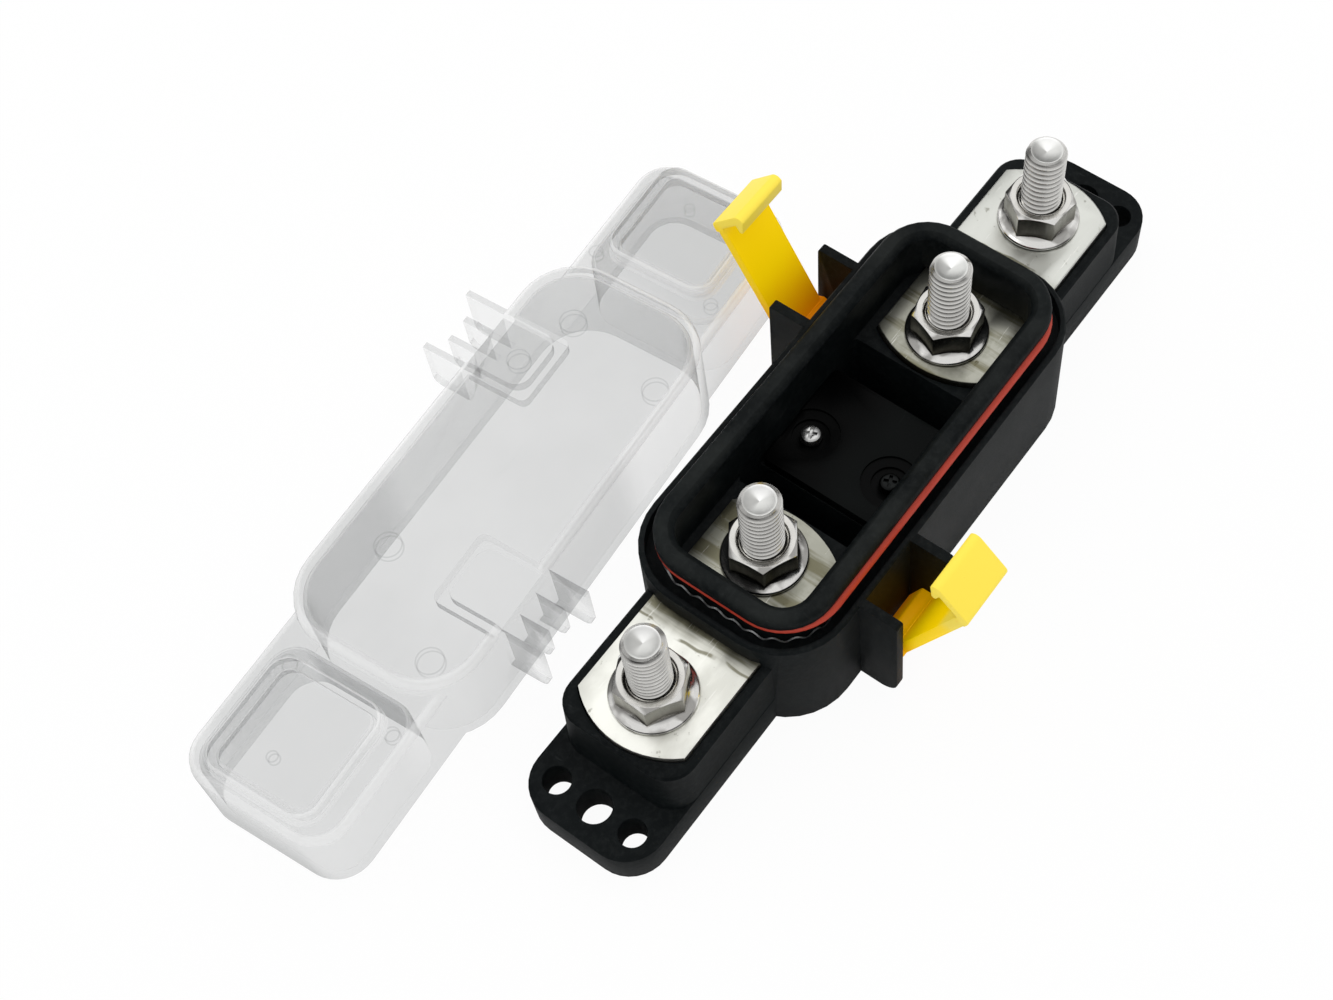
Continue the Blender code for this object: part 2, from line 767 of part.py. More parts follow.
def build_fasteners(parts, cutters, stud_material, nut_material):
    head_top = PLATE_BOTTOM - GAP
    head_low = head_top - STUD_HEAD_HEIGHT
    nut_low = PLATE_BOTTOM + PLATE_THICKNESS + GAP
    nut_top = nut_low + NUT_HEIGHT
    corner = NUT_FLATS / 2 / math.cos(math.pi / HEX_SIDES)
    shank = [
        (0, STUD_TIP),
        (STUD_RADIUS - STUD_CHAMFER, STUD_TIP),
        (STUD_RADIUS, STUD_TIP - STUD_CHAMFER),
        (STUD_RADIUS, head_low + OVERLAP),
        (0, head_low + OVERLAP),
    ]
    envelope = [
        (0, nut_top),
        (corner - NUT_CHAMFER, nut_top),
        (corner + NUT_CHAMFER, nut_top - NUT_CHAMFER),
        (corner + NUT_CHAMFER, nut_low + NUT_FLANGE_EDGE / 2),
        (0, nut_low + NUT_FLANGE_EDGE / 2),
    ]
    flange = [
        (0, nut_low + NUT_FLANGE_HEIGHT),
        (NUT_FLATS / 2, nut_low + NUT_FLANGE_HEIGHT),
        (NUT_FLANGE_RADIUS, nut_low + NUT_FLANGE_EDGE),
        (NUT_FLANGE_RADIUS, nut_low),
        (0, nut_low),
    ]
    for x, label in (
        (-STUD_OUTER_X, "outer_near"),
        (-STUD_INNER_X, "inner_near"),
        (STUD_INNER_X, "inner_far"),
        (STUD_OUTER_X, "outer_far"),
    ):
        place = Matrix.Translation((x, 0, 0))
        stud = revolve(f"stud_{label}", shank, parts)
        stud.matrix_world = place
        stud.data.materials.append(stud_material)
        head = cylinder(
            f"head_{label}",
            STUD_HEAD_FLATS / 2 / math.cos(math.pi / HEX_SIDES),
            head_low,
            head_top,
            HEX_SIDES,
            cutters,
            place,
        )
        boolean(stud, head, "UNION")

        turned = place @ Matrix.Rotation(math.radians(NUT_TURNS[label]), 4, "Z")
        nut = cylinder(
            f"flange_nut_{label}", corner, nut_low + OVERLAP, nut_top, HEX_SIDES, parts, turned
        )
        nut.data.materials.append(nut_material)
        shape = revolve(f"nut_envelope_{label}", envelope, cutters)
        shape.matrix_world = place
        boolean(nut, shape, "INTERSECT")
        skirt = revolve(f"nut_flange_{label}", flange, cutters)
        skirt.matrix_world = place
        boolean(nut, skirt, "UNION")
        bore = cylinder(
            f"nut_bore_{label}",
            STUD_RADIUS + GAP,
            nut_low - THROUGH,
            nut_top + THROUGH,
            CIRCLE_STEPS,
            cutters,
            place,
        )
        boolean(nut, bore)


def build_cord(parts, material):
    """Sealing cord: a round section swept around the lip's groove."""
    height = (GROOVE_BOTTOM + GROOVE_TOP) / 2
    curve = bpy.data.curves.new("gasket", "CURVE")
    curve.dimensions = "3D"
    curve.bevel_depth = CORD_RADIUS
    curve.bevel_resolution = 2
    spline = curve.splines.new("POLY")
    outline = centred_rect(CORD_HALF_LENGTH, CORD_HALF_WIDTH, CORD_CORNER, CORNER_STEPS + 2)
    spline.points.add(len(outline) - 1)
    for point, (x, y) in zip(spline.points, outline):
        point.co = (x, y, height, 1)
    spline.use_cyclic_u = True
    item = bpy.data.objects.new("gasket", curve)
    parts.objects.link(item)
    cord = to_mesh(item, parts)
    cord.data.materials.append(material)


def sloped_height(level, slope, x):
    """Height of a line that passes x = 0 at the level and rises towards -x."""
    return level - math.tan(slope) * x


def strap_outline(top):
    """Plain bar between the heel and the lip; the pivot is the origin, outside is +x."""
    low = LATCH_SHOULDER - OVERLAP
    return [(0, low), (LATCH_STRAP_THICKNESS, low), (LATCH_STRAP_THICKNESS, top), (0, top)]


def lip_outline():
    """Sloping lip over the cover with a hooked bead under its rounded tip."""
    slope = math.radians(LATCH_TOP_SLOPE)
    normal = math.pi / 2 - slope
    outer = LATCH_STRAP_THICKNESS
    under = LATCH_HEIGHT - LATCH_LIP_THICKNESS / math.cos(slope)

    def touching(level, x, radius):
        return sloped_height(level, slope, x) - radius / math.cos(slope)

    root = touching(under, 0, LATCH_LIP_ROOT)
    corner = outer - LATCH_TOP_CORNER
    tip = LATCH_TIP_RADIUS - LATCH_LIP_REACH
    neck = LATCH_NECK_FILLET
    tip_y = touching(LATCH_HEIGHT, tip, LATCH_TIP_RADIUS)
    bead_y = sloped_height(under, slope, -LATCH_BEAD_X) - LATCH_BEAD_DROP
    points = [(0, root), (outer, root)]
    points += arc(
        corner,
        touching(LATCH_HEIGHT, corner, LATCH_TOP_CORNER),
        LATCH_TOP_CORNER,
        0,
        normal,
        CORNER_STEPS,
    )
    points += arc(tip, tip_y, LATCH_TIP_RADIUS, normal, math.pi, CORNER_STEPS)
    points += arc(
        -LATCH_BEAD_X,
        bead_y,
        LATCH_BEAD_RADIUS,
        math.radians(LATCH_BEAD_START),
        math.radians(LATCH_BEAD_END),
        CORNER_STEPS,
    )
    inside = LATCH_BEAD_RADIUS - LATCH_BEAD_X
    points.append((inside, sloped_height(under, slope, inside)))
    points += arc(-neck, touching(under, -neck, neck), neck, normal, 0, CORNER_STEPS)
    return points


def heel_outline():
    """Thick lower end around the pivot; its tail meets the tub wall and stops the latch."""
    slope = math.radians(LATCH_HEEL_SLOPE)
    outer = LATCH_STRAP_THICKNESS
    fillet = LATCH_HEEL_FILLET
    edge = LATCH_EDGE
    start = math.asin((LATCH_SHOULDER - LATCH_HEEL_HEIGHT) / fillet)
    end = slope - math.pi / 2
    points = [(outer - edge, -LATCH_TAIL), (outer, edge - LATCH_TAIL), (outer, LATCH_SHOULDER)]
    points += arc(-fillet, LATCH_HEEL_HEIGHT, fillet, start, end, CORNER_STEPS)
    x, y = points[-1]
    corner = LATCH_HEEL_CORNER
    centre = corner - LATCH_HEEL_THICKNESS
    centre_y = y + (centre - x) * math.tan(slope) - corner / math.cos(slope)
    points += arc(centre, centre_y, corner, math.pi / 2 + slope, math.pi, CORNER_STEPS)
    points += [(-LATCH_HEEL_THICKNESS, -LATCH_HEEL_DROP), (-LATCH_TAIL_INNER, -LATCH_TAIL)]
    return points


def build_latches(parts, cutters, material):
    middle = (EAR_GAP_START + EAR_GAP_END) / 2
    half_gap = (EAR_GAP_END - EAR_GAP_START) / 2
    heel_width = 2 * (half_gap - LATCH_SIDE_CLEARANCE)
    trunnion_half = half_gap + PIVOT_HOLE_DEPTH - TRUNNION_END_CLEARANCE
    for side, label, lean in ((1, "back", LATCH_LEAN_BACK), (-1, "front", LATCH_LEAN_FRONT)):
        turn = Matrix.Identity(4) if side > 0 else half_turn()
        pose = (
            turn
            @ Matrix.Translation((middle, PIVOT_Y, PIVOT_Z))
            @ Matrix.Rotation(-math.radians(lean), 4, "X")
        )
        profile = pose @ side_profile_matrix()
        lip = lip_outline()
        strap_top = lip[0][1] + OVERLAP / 2
        latch = prism(
            f"latch_{label}",
            [strap_outline(strap_top)],
            -LATCH_STRAP_WIDTH / 2,
            LATCH_STRAP_WIDTH / 2,
            parts,
            profile,
        )
        latch.data.transform(pose.inverted() @ latch.matrix_world)
        latch.matrix_world = pose
        latch.data.materials.append(material)
        for name, outline, width in (
            ("lip", lip, LATCH_LIP_WIDTH),
            ("heel", heel_outline(), heel_width),
        ):
            shape = prism(f"{name}_{label}", [outline], -width / 2, width / 2, cutters, profile)
            boolean(latch, shape, "UNION")
        trunnion = cylinder(
            f"trunnion_{label}",
            TRUNNION_RADIUS,
            -trunnion_half,
            trunnion_half,
            SMALL_CIRCLE_STEPS,
            cutters,
            pose @ Matrix.Rotation(math.pi / 2, 4, "Y"),
        )
        boolean(latch, trunnion, "UNION")


def fin_outline(reach, bottom, top):
    """Side view of a comb fin: root in the wall, rounded lower outer corner."""
    root = COVER_HALF_WIDTH - FIN_ROOT_DEPTH
    tip = COVER_HALF_WIDTH + reach
    quarter = math.pi / 2
    points = [(root, bottom)]
    points += arc(tip - FIN_CORNER, bottom + FIN_CORNER, FIN_CORNER, -quarter, 0, CORNER_STEPS)
    points += [(tip, top), (root, top)]
    return points


def build_cover(parts, cutters, material):
    pose = Matrix.Translation((COVER_X, COVER_Y, 0)) @ Matrix.Rotation(
        math.radians(COVER_YAW), 4, "Z"
    )
    cover = loft(
        "cover",
        edge_rings(
            COVER_HALF_LENGTH,
            COVER_HALF_WIDTH,
            COVER_CORNER,
            0,
            COVER_HEIGHT,
            COVER_ROUND,
            draft=COVER_DRAFT,
        ),
        parts,
    )
    cover.matrix_world = pose
    cover.data.materials.append(material)

    def attach(item, operation):
        item.matrix_world = pose @ item.matrix_world
        boolean(cover, item, operation)

    flaps = edge_rings(
        FLAP_HALF_LENGTH,
        FLAP_HALF_WIDTH,
        FLAP_CORNER,
        0,
        FLAP_HEIGHT,
        FLAP_ROUND,
        draft=COVER_DRAFT,
    )
    attach(loft("flaps", flaps, cutters), "UNION")

    def dome_rings(shrink, low, high):
        rings = edge_rings(
            DOME_HALF_LENGTH + DOME_FLARE - shrink,
            DOME_HALF_WIDTH + DOME_FLARE - shrink,
            DOME_CORNER + DOME_FLARE - shrink,
            low,
            high,
            DOME_ROUND,
            draft=DOME_FLARE,
        )
        return shifted(rings, DOME_X)

    outer_dome = dome_rings(0, FLAP_HEIGHT - OVERLAP, DOME_HEIGHT)
    attach(loft("dome_far", outer_dome, cutters), "UNION")
    attach(loft("dome_near", mirrored(outer_dome), cutters), "UNION")

    cavity = edge_rings(
        COVER_HALF_LENGTH - COVER_WALL,
        COVER_HALF_WIDTH - COVER_WALL,
        COVER_CORNER - COVER_WALL,
        -THROUGH,
        COVER_HEIGHT - COVER_WALL,
        COVER_ROUND - COVER_WALL / 2,
        draft=COVER_DRAFT,
    )
    attach(loft("cavity", cavity, cutters), "DIFFERENCE")

    half = (FLAP_HALF_LENGTH - COVER_WALL - FLAP_CAVITY_START) / 2
    width = FLAP_HALF_WIDTH - COVER_WALL
    flap_cavity = edge_rings(
        half,
        width,
        FLAP_CORNER - COVER_WALL,
        -THROUGH,
        FLAP_HEIGHT - COVER_WALL,
        FLAP_ROUND - COVER_WALL / 2,
        draft=COVER_DRAFT,
    )
    flap_cavity = shifted(flap_cavity, FLAP_CAVITY_START + half)
    inner_dome = dome_rings(COVER_WALL, FLAP_HEIGHT - 2 * COVER_WALL, DOME_HEIGHT - COVER_WALL)
    for label, rings in (("flap_cavity", flap_cavity), ("dome_cavity", inner_dome)):
        attach(loft(f"{label}_far", rings, cutters), "DIFFERENCE")
        attach(loft(f"{label}_near", mirrored(rings), cutters), "DIFFERENCE")

    floor = COVER_HEIGHT - PAD_DEPTH
    recess_half = FIN_OUTER_OFFSET - FIN_THICKNESS / 2
    for side in SIDES:
        turn = Matrix.Identity(4) if side > 0 else half_turn()
        block = prism(
            f"pad_block_{side}",
            [
                rounded_rect(
                    PAD_X - recess_half - COVER_WALL,
                    PAD_X + recess_half + COVER_WALL,
                    PAD_INNER_Y - COVER_WALL,
                    COVER_HALF_WIDTH - COVER_DRAFT - FIN_ROOT_DEPTH,
                    PAD_CORNER / 2,
                )
            ],
            floor - COVER_WALL,
            COVER_HEIGHT - COVER_WALL / 2,
            cutters,
            turn,
        )
        attach(block, "UNION")
        recess = prism(
            f"pad_recess_{side}",
            [
                rounded_rect(
                    PAD_X - recess_half,
                    PAD_X + recess_half,
                    PAD_INNER_Y,
                    COVER_HALF_WIDTH + FIN_OUTER_REACH,
                    PAD_CORNER,
                )
            ],
            floor,
            COVER_HEIGHT + THROUGH,
            cutters,
            turn,
        )
        attach(recess, "DIFFERENCE")
        for offset, reach, bottom, top in (
            (FIN_OUTER_OFFSET, FIN_OUTER_REACH, FIN_OUTER_BOTTOM, COVER_HEIGHT - COVER_ROUND / 2),
            (FIN_INNER_OFFSET, FIN_INNER_REACH, FIN_INNER_BOTTOM, floor - FIN_TOP_DROP),
        ):
            for sign in SIDES:
                middle = PAD_X + sign * offset
                fin = prism(
                    f"fin_{side}_{len(cutters.objects)}",
                    [fin_outline(reach, bottom, top)],
                    middle - FIN_THICKNESS / 2,
                    middle + FIN_THICKNESS / 2,
                    cutters,
                    turn @ side_profile_matrix(),
                )
                attach(fin, "UNION")
    return cover


def main():
    clear_scene()
    parts = new_collection("class_t_fuse_block")
    cutters = new_collection("cutters")
    cutters.hide_render = True

    black = make_material("black_glass_filled_nylon", (0.018, 0.019, 0.02), 0.55)
    insert_black = make_material("black_insert_nylon", (0.022, 0.024, 0.025), 0.5)
    plated = make_material("tin_plated_copper", (0.74, 0.73, 0.69), 0.35, metallic=1.0)
    steel = make_material("stainless_stud_steel", (0.72, 0.72, 0.7), 0.22, metallic=1.0)
    nut_steel = make_material("stainless_nut_steel", (0.68, 0.68, 0.66), 0.25, metallic=1.0)
    screw_steel = make_material("zinc_plated_screw", (0.6, 0.6, 0.58), 0.3, metallic=1.0)
    red = make_material("red_silicone", (0.45, 0.035, 0.02), 0.45)
    yellow = make_material("yellow_polycarbonate", (0.9, 0.62, 0.0), 0.35)
    clear = make_material("clear_polycarbonate", (0.95, 0.96, 0.96), 0.08, transmission=1.0)

    build_housing(parts, cutters, black)
    build_insert(parts, cutters, insert_black)
    build_screws(parts, cutters, screw_steel)
    build_plates(parts, plated)
    build_fasteners(parts, cutters, steel, nut_steel)
    build_cord(parts, red)
    build_latches(parts, cutters, yellow)
    build_cover(parts, cutters, clear)
    bpy.context.view_layer.update()


main()
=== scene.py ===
"""Class T fuse block with its clear cover lifted off, dressed for the studio."""

import math

import bpy
from mathutils import Matrix, Vector


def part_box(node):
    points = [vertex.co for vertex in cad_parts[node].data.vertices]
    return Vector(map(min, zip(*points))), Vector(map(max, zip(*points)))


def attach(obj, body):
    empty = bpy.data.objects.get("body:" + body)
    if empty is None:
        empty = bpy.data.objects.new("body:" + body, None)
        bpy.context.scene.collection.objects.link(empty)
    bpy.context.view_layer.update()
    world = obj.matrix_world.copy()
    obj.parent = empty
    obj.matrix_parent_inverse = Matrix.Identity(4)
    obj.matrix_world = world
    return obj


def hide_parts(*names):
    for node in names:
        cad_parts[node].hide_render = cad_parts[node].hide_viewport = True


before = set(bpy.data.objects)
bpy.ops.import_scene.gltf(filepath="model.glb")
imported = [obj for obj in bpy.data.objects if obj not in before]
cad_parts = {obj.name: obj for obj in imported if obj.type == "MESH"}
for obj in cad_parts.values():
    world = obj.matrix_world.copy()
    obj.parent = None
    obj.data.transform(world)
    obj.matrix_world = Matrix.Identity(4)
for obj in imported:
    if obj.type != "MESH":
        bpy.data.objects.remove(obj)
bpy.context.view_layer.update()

MM = 0.001


def corners_of(node):
    """The least and the greatest corner of a CAD node, in millimetres."""
    return [[round(value / MM, 3) for value in corner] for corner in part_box(node)]


def middle(node, axis):
    """The middle of a CAD node along an axis, in millimetres."""
    low, high = corners_of(node)
    return (low[axis] + high[axis]) / 2


# Studs and nuts: 3/8-16 thread, in millimetres, their places and reach from the frame
STUD_LOW, STUD_HIGH = corners_of("stud_inner_far")
STUD_BASE = STUD_LOW[2]
STUD_TIP = STUD_HIGH[2]
STUD_HEAD_FLATS = STUD_HIGH[0] - STUD_LOW[0]
STUD_HEAD_CORNER = STUD_HEAD_FLATS / 2 - 0.2
STUD_HEAD_TOP = STUD_BASE + 5.6
STUD_TIP_RADIUS = 3.6
STUD_TURN = 12.0
THREAD_PITCH = 1.5875
THREAD_CREST = 4.7
THREAD_ROOT = 3.85
THREAD_MIDDLE = 0.8
THREAD_STEPS = 40
THREAD_SPARE_TURNS = 3
NUT_LOW, NUT_HIGH = corners_of("flange_nut_inner_far")
NUT_BOTTOM = NUT_LOW[2]
NUT_TOP = NUT_HIGH[2]
NUT_FLANGE = (NUT_HIGH[0] - NUT_LOW[0]) / 2
NUT_FLATS = 14.3
NUT_CORNER = NUT_FLATS / 2 - 0.25
NUT_BORE = 4.95
NUT_TURNS = {"outer_near": -1.0, "inner_near": 6.5, "inner_far": -19.5, "outer_far": 24.0}

# A thread's flank from root to crest, as (radius, distance from the crest's middle)
THREAD_FLANK = ((THREAD_ROOT + 0.08, 0.64), (THREAD_CREST - 0.03, 0.14), (THREAD_CREST, 0.06))

# The stud's turned tip from its rim into its dish, as (radius, depth below the tip)
TIP_DISH = (
    (STUD_TIP_RADIUS, 0.0),
    (STUD_TIP_RADIUS - 0.25, 0.0),
    (STUD_TIP_RADIUS - 0.5, 0.14),
    (0.3, 0.6),
)
TIP_SLOPE = 0.9
TIP_TOOL_RADIUS = 6.0
ROD_SPARE = 0.5

# The nut's flange from its seat to under the flats, as (radius, height above the seat)
FLANGE_DOME = (
    (NUT_FLANGE - 0.2, 0.0),
    (NUT_FLANGE, 0.2),
    (NUT_FLANGE, 0.45),
    (NUT_FLANGE - 0.25, 0.75),
    (NUT_FLANGE - 0.75, 0.95),
    (NUT_FLANGE - 1.9, 1.6),
    (NUT_FLANGE - 2.6, 2.2),
    (4.0, 2.4),
)
FLANGE_SIDES = 96

# The nut's countersinks, as (radius, depth)
BORE_FOOT = (5.6, 0.6)
BORE_MOUTH = (5.75, 0.75)

# The tool that turns a hexagon's corners down: slope, reach past the points, lid as (in, up)
CORNER_SLOPE = math.radians(30)
CORNER_REACH = 0.5
CORNER_LID = (0.6, 0.001)

# How far a tool passes what it cuts, or a piece runs into the one it joins
OVERLAP = 1.0

# Rounding of each piece's edges, in millimetres
EDGE_ROUND = {
    "housing": 0.28,
    "insert": 0.2,
    "screw": 0.12,
    "latch": 0.35,
    "plate": 0.3,
    "nut": 0.12,
    "cover": 0.3,
}

# Where a finish, or the light and shade painted into it, changes over a piece, from one place to
# another, in millimetres
LIP_LIGHTER = (37.3, 38.5)
INSERT_SHADE = (-2.0, 9.0)
SCREW_HOLLOW_SHADE = (6.9, 6.3)
SCREW_PAINTED_SHADE = (-1.0, -3.0)
PLATE_CHAMBER_SHADE = (60.0, 50.0)
PLATE_AT_WALL = (62.0, 58.0)
PLATE_SEAM = 62.2
PLATE_SEAM_EDGE = (0.55, 0.15)
PLATE_FAR_SHADE = (40.0, 60.0)
LATCH_PAINTED_SHADE = (13.0, 34.0)
LATCH_PAINTED_HIGHLIGHT = (45.0, 50.0)
LATCH_SHADE_SHIFT = (0.0, -10.0)
BEAD_CORNERS = (44.0, 50.0)
COVER_FAR_SHADE = (0.0, 14.0)
ROOT_SHADE_BAND = (THREAD_ROOT + 0.1, THREAD_CREST - 0.15)
TIP_CHAMFER = STUD_TIP - 0.8
TIP_FACE = STUD_TIP - 0.75
TIP_EDGE = STUD_TIP_RADIUS + 0.02
AXIS_GAP = 0.05
NUT_FLATS_FROM = NUT_BOTTOM + 1.6
NUT_FLATS_RISE = (NUT_BOTTOM + 2.0, NUT_TOP - 0.8)
NUT_FACE_FROM = NUT_TOP - 0.12
NUT_FACE_EDGE = (7.1, 6.9)
NUT_SKIRT_EDGE = (8.2, 7.3)
NUT_SKIRT_TOP = NUT_BOTTOM + 3.2

# Cover: where it lies, and its ejector marks as (along, across, radius)
COVER_CENTRE = Vector((-49.0, 60.0))
COVER_TURN = math.radians(4.5)
COVER_BODY_REACH = 54.5
COVER_FLAP_REACH = 72.4
COVER_HALF_WIDTH = 20.0
COVER_SIDE = 23.6
COVER_FRONT = Vector((-0.8, -0.6))
MARK_LINE = (0.26, 0.1)
THIN_WALL = (0.975, 0.976, 0.976)
THICK_EDGE = (0.66, 0.665, 0.665)
EJECTOR_MARKS = (
    (38.0, 7.4, 3.0),
    (32.3, -18.5, 3.0),
    (-46.0, -14.5, 3.0),
    (-28.8, 9.2, 3.0),
    (24.7, 13.6, 2.6),
    (85.0, 14.0, 1.6),
    (59.0, 16.0, 1.6),
    (60.0, -15.0, 1.6),
    (-60.0, 13.0, 1.6),
    (-62.0, -15.5, 1.6),
    (78.0, 2.0, 1.2),
    (-79.0, 0.6, 1.2),
)

# Wavy bead on the lip's stem
BEAD_HALF = (51.35, 20.55)
BEAD_CORNER = 12.3
BEAD_LEVEL = 28.9
BEAD_RISE = 0.8
BEAD_RADIUS = 0.21
BEAD_STEP = 0.6
BEAD_WAVES = 58

# Cleaning a copy of a CAD node
MERGE_DISTANCE = 0.002 * MM
FLAT_ANGLE = math.radians(0.4)

# Camera, fitted to the photograph
CAMERA_TURN = math.radians(53.2016)
CAMERA_RISE = math.radians(61.5865)
CAMERA_ROLL = math.radians(-1.5726)
CAMERA_REACH = 446.1945 * MM
CAMERA_TARGET = Vector((-8.6166, 1.7128, 10.0)) * MM
FOCAL_PIXELS = 1996.098
IMAGE_WIDTH = 1333
PRINCIPAL_COLUMN = 830.0
SENSOR_WIDTH = 36.0

# Studio, in metres and watts
FLOOR_SIZE = 6.0
FLOOR_LEVEL = -0.0002
LAMP_POWER = 3.9
LAMP_SIZE = (1.5, 1.4)
LAMP_PLACE = Vector((0.42, 0.33, 1.05))
LAMP_AIM = Vector((0, 0, 0.01))
RIGHT_PANEL = (0.78, -0.6, 0.16)
LEFT_PANEL = (-0.7, 0.7, 0.2)

# Materials


class Value:
    """A number from a node; arithmetic on it adds Math nodes."""

    def __init__(self, tree, socket):
        self.tree = tree
        self.socket = socket

    def _math(self, operation, *others, first=True):
        node = self.tree.nodes.new("ShaderNodeMath")
        node.operation = operation
        terms = (self, *others) if first else (*others, self)
        for slot, term in zip(node.inputs, terms):
            plug(self.tree, slot, term)
        return Value(self.tree, node.outputs[0])

    def __add__(self, other):
        return self._math("ADD", other)

    def __radd__(self, other):
        return self._math("ADD", other)

    def __sub__(self, other):
        return self._math("SUBTRACT", other)

    def __rsub__(self, other):
        return self._math("SUBTRACT", other, first=False)

    def __mul__(self, other):
        return self._math("MULTIPLY", other)

    def __rmul__(self, other):
        return self._math("MULTIPLY", other)

    def __truediv__(self, other):
        return self._math("DIVIDE", other)

    def __abs__(self):
        return self._math("ABSOLUTE")

    def below(self, edge):
        return self._math("LESS_THAN", edge)

    def above(self, edge):
        return self._math("GREATER_THAN", edge)

    def lesser(self, other):
        return self._math("MINIMUM", other)

    def greater(self, other):
        return self._math("MAXIMUM", other)

    def root(self):
        return self._math("SQRT")

    def wave(self):
        return self._math("SINE")


def plug(tree, slot, term):
    """Links a value, or sets a constant."""
    if isinstance(term, Value):
        tree.links.new(term.socket, slot)
    elif isinstance(term, (tuple, list)) and len(term) == 3 and slot.type == "RGBA":
        slot.default_value = (*term, 1.0)
    else:
        slot.default_value = term


def between(factor, first, second):
    """The number first where factor is 0, second where it is 1."""
    return (second - first) * factor + first


def distance(x, y):
    """How far a point lies from where x and y are 0."""
    return (x * x + y * y).root()


class Net:
    """Nodes of one tree."""

    def __init__(self, tree):
        self.tree = tree

    def add(self, kind, settings=None, inputs=None, output=0):
        """Any node: its settings first, then the values or links of its sockets."""
        node = self.tree.nodes.new("ShaderNode" + kind)
        for key, setting in (settings or {}).items():
            setattr(node, key, setting)
        for key, term in (inputs or {}).items():
            plug(self.tree, node.inputs[key], term)
        return Value(self.tree, node.outputs[output])

    def place(self, stretch=(1, 1, 1), turn=(0, 0, 0)):
        """Object coordinates, stretched and turned."""
        coordinates = self.add("TexCoord", output="Object")
        if stretch == (1, 1, 1) and turn == (0, 0, 0):
            return coordinates
        return self.add(
            "Mapping", None, {"Vector": coordinates, "Scale": stretch, "Rotation": turn}
        )

    def axis(self, name):
        """One object coordinate in millimetres."""
        return self.add("SeparateXYZ", None, {"Vector": self.place()}, name) * (1 / MM)

    def upward(self):
        """How far the surface faces up, from -1 to 1."""
        normal = self.add("NewGeometry", output="Normal")
        return self.add("SeparateXYZ", None, {"Vector": normal}, "Z")

    def noise(self, scale, detail=2.0, roughness=0.5, at=None):
        """Fractal noise from 0 to 1 over the piece, or over other coordinates."""
        inputs = {"Vector": at or self.place(), "Scale": scale}
        inputs.update({"Detail": detail, "Roughness": roughness})
        return self.add("TexNoise", None, inputs, "Fac")

    def span(self, value, low, high, start=0.0, end=1.0):
        """value from low..high brought smoothly to start..end."""
        inputs = {"Value": value, "From Min": low, "From Max": high}
        inputs.update({"To Min": start, "To Max": end})
        return self.add("MapRange", {"interpolation_type": "SMOOTHSTEP"}, inputs)

    def tint(self, factor, first, second):
        """first where factor is 0, second where it is 1."""
        return self.add("Mix", {"data_type": "RGBA"}, {0: factor, 6: first, 7: second}, 2)

    def toward(self, vector, direction):
        """How far a vector points in a direction."""
        inputs = {0: vector, 1: Vector(direction).normalized()}
        return self.add("VectorMath", {"operation": "DOT_PRODUCT"}, inputs, "Value")


class Finish(Net):
    """One material: a Principled shader and what varies over the surface."""

    def __init__(self, name, **constants):
        self.material = bpy.data.materials.new(name)
        self.material.use_nodes = True
        super().__init__(self.material.node_tree)
        self.shader = self.tree.nodes["Principled BSDF"]
        self.set(**constants)

    def set(self, **terms):
        """Shader inputs by name, with underscores for spaces."""
        for key, term in terms.items():
            plug(self.tree, self.shader.inputs[key.replace("_", " ")], term)

    def blend(self, share, other):
        """Mixes another shader into the surface by a share."""
        surface = self.tree.nodes["Material Output"].inputs["Surface"]
        shown = Value(self.tree, surface.links[0].from_socket)
        mixer = self.add("MixShader", None, {"Fac": share, 1: shown, 2: other})
        plug(self.tree, surface, mixer)

    def own(self):
        """Coordinates of a turned piece about its own axis, in millimetres: x, y, z, radius."""
        home = self.add("Attribute", {"attribute_name": "home"}, output="Vector")
        parts = [self.add("SeparateXYZ", None, {"Vector": home}, axis) for axis in "XYZ"]
        x, y, z = (part * (1 / MM) for part in parts)
        return x, y, z, distance(x, y)

    def bump(self, height, depth, strength=1.0):
        """A normal from a height of 0..1 that is depth millimetres deep."""
        inputs = {"Height": height, "Distance": depth * MM, "Strength": strength}
        return self.add("Bump", None, inputs)


def stud_finish():
    """Stainless rod: painted shade in the thread roots, bright crests, and a spun, dished end with
    a painted dark wedge and a painted glint.
    """
    finish = Finish("stud_stainless", Metallic=1.0)
    x, y, z, radius = finish.own()
    fine = finish.noise(900.0, 4.0, 0.6)
    blotch = finish.span(finish.noise(150.0, 3.0), 0.38, 0.66)
    # Painted shade: the thread roots are darker than the crests, except at the chamfered tip.
    crest = finish.span(radius, *ROOT_SHADE_BAND)
    crest = crest.greater(z.above(TIP_CHAMFER) * 0.75)
    rod = finish.tint(crest, (0.20, 0.195, 0.185), (0.86, 0.85, 0.82))
    rod = finish.tint(blotch * 0.25, rod, (0.52, 0.51, 0.49))
    end = z.above(TIP_FACE) * radius.below(TIP_EDGE)
    reach = radius.greater(AXIS_GAP)
    # Painted shade and painted highlight on the dished end: a dark wedge on one side, a glint on
    # the other.
    shade = finish.span((x * -0.45 + y * 0.89) / reach, 0.35, 1.0)
    glint = finish.span((x * 0.97 + y * 0.24) / reach, 0.45, 1.0)
    spun = (radius * 34.0).wave() * 0.5 + 0.5
    face = finish.tint(shade * 0.8, (0.66, 0.665, 0.645), (0.30, 0.30, 0.29))
    face = finish.tint(glint * 0.8, face, (1.0, 1.0, 0.99))
    face = finish.tint(blotch * 0.25, face, (0.66, 0.65, 0.63))
    finish.set(
        Base_Color=finish.tint(end, rod, face),
        Roughness=blotch * 0.06 + fine * 0.12 + end * 0.08 + 0.17,
        Normal=finish.bump(fine * 0.6 + spun * end * 0.4, 0.01),
    )
    return finish.material


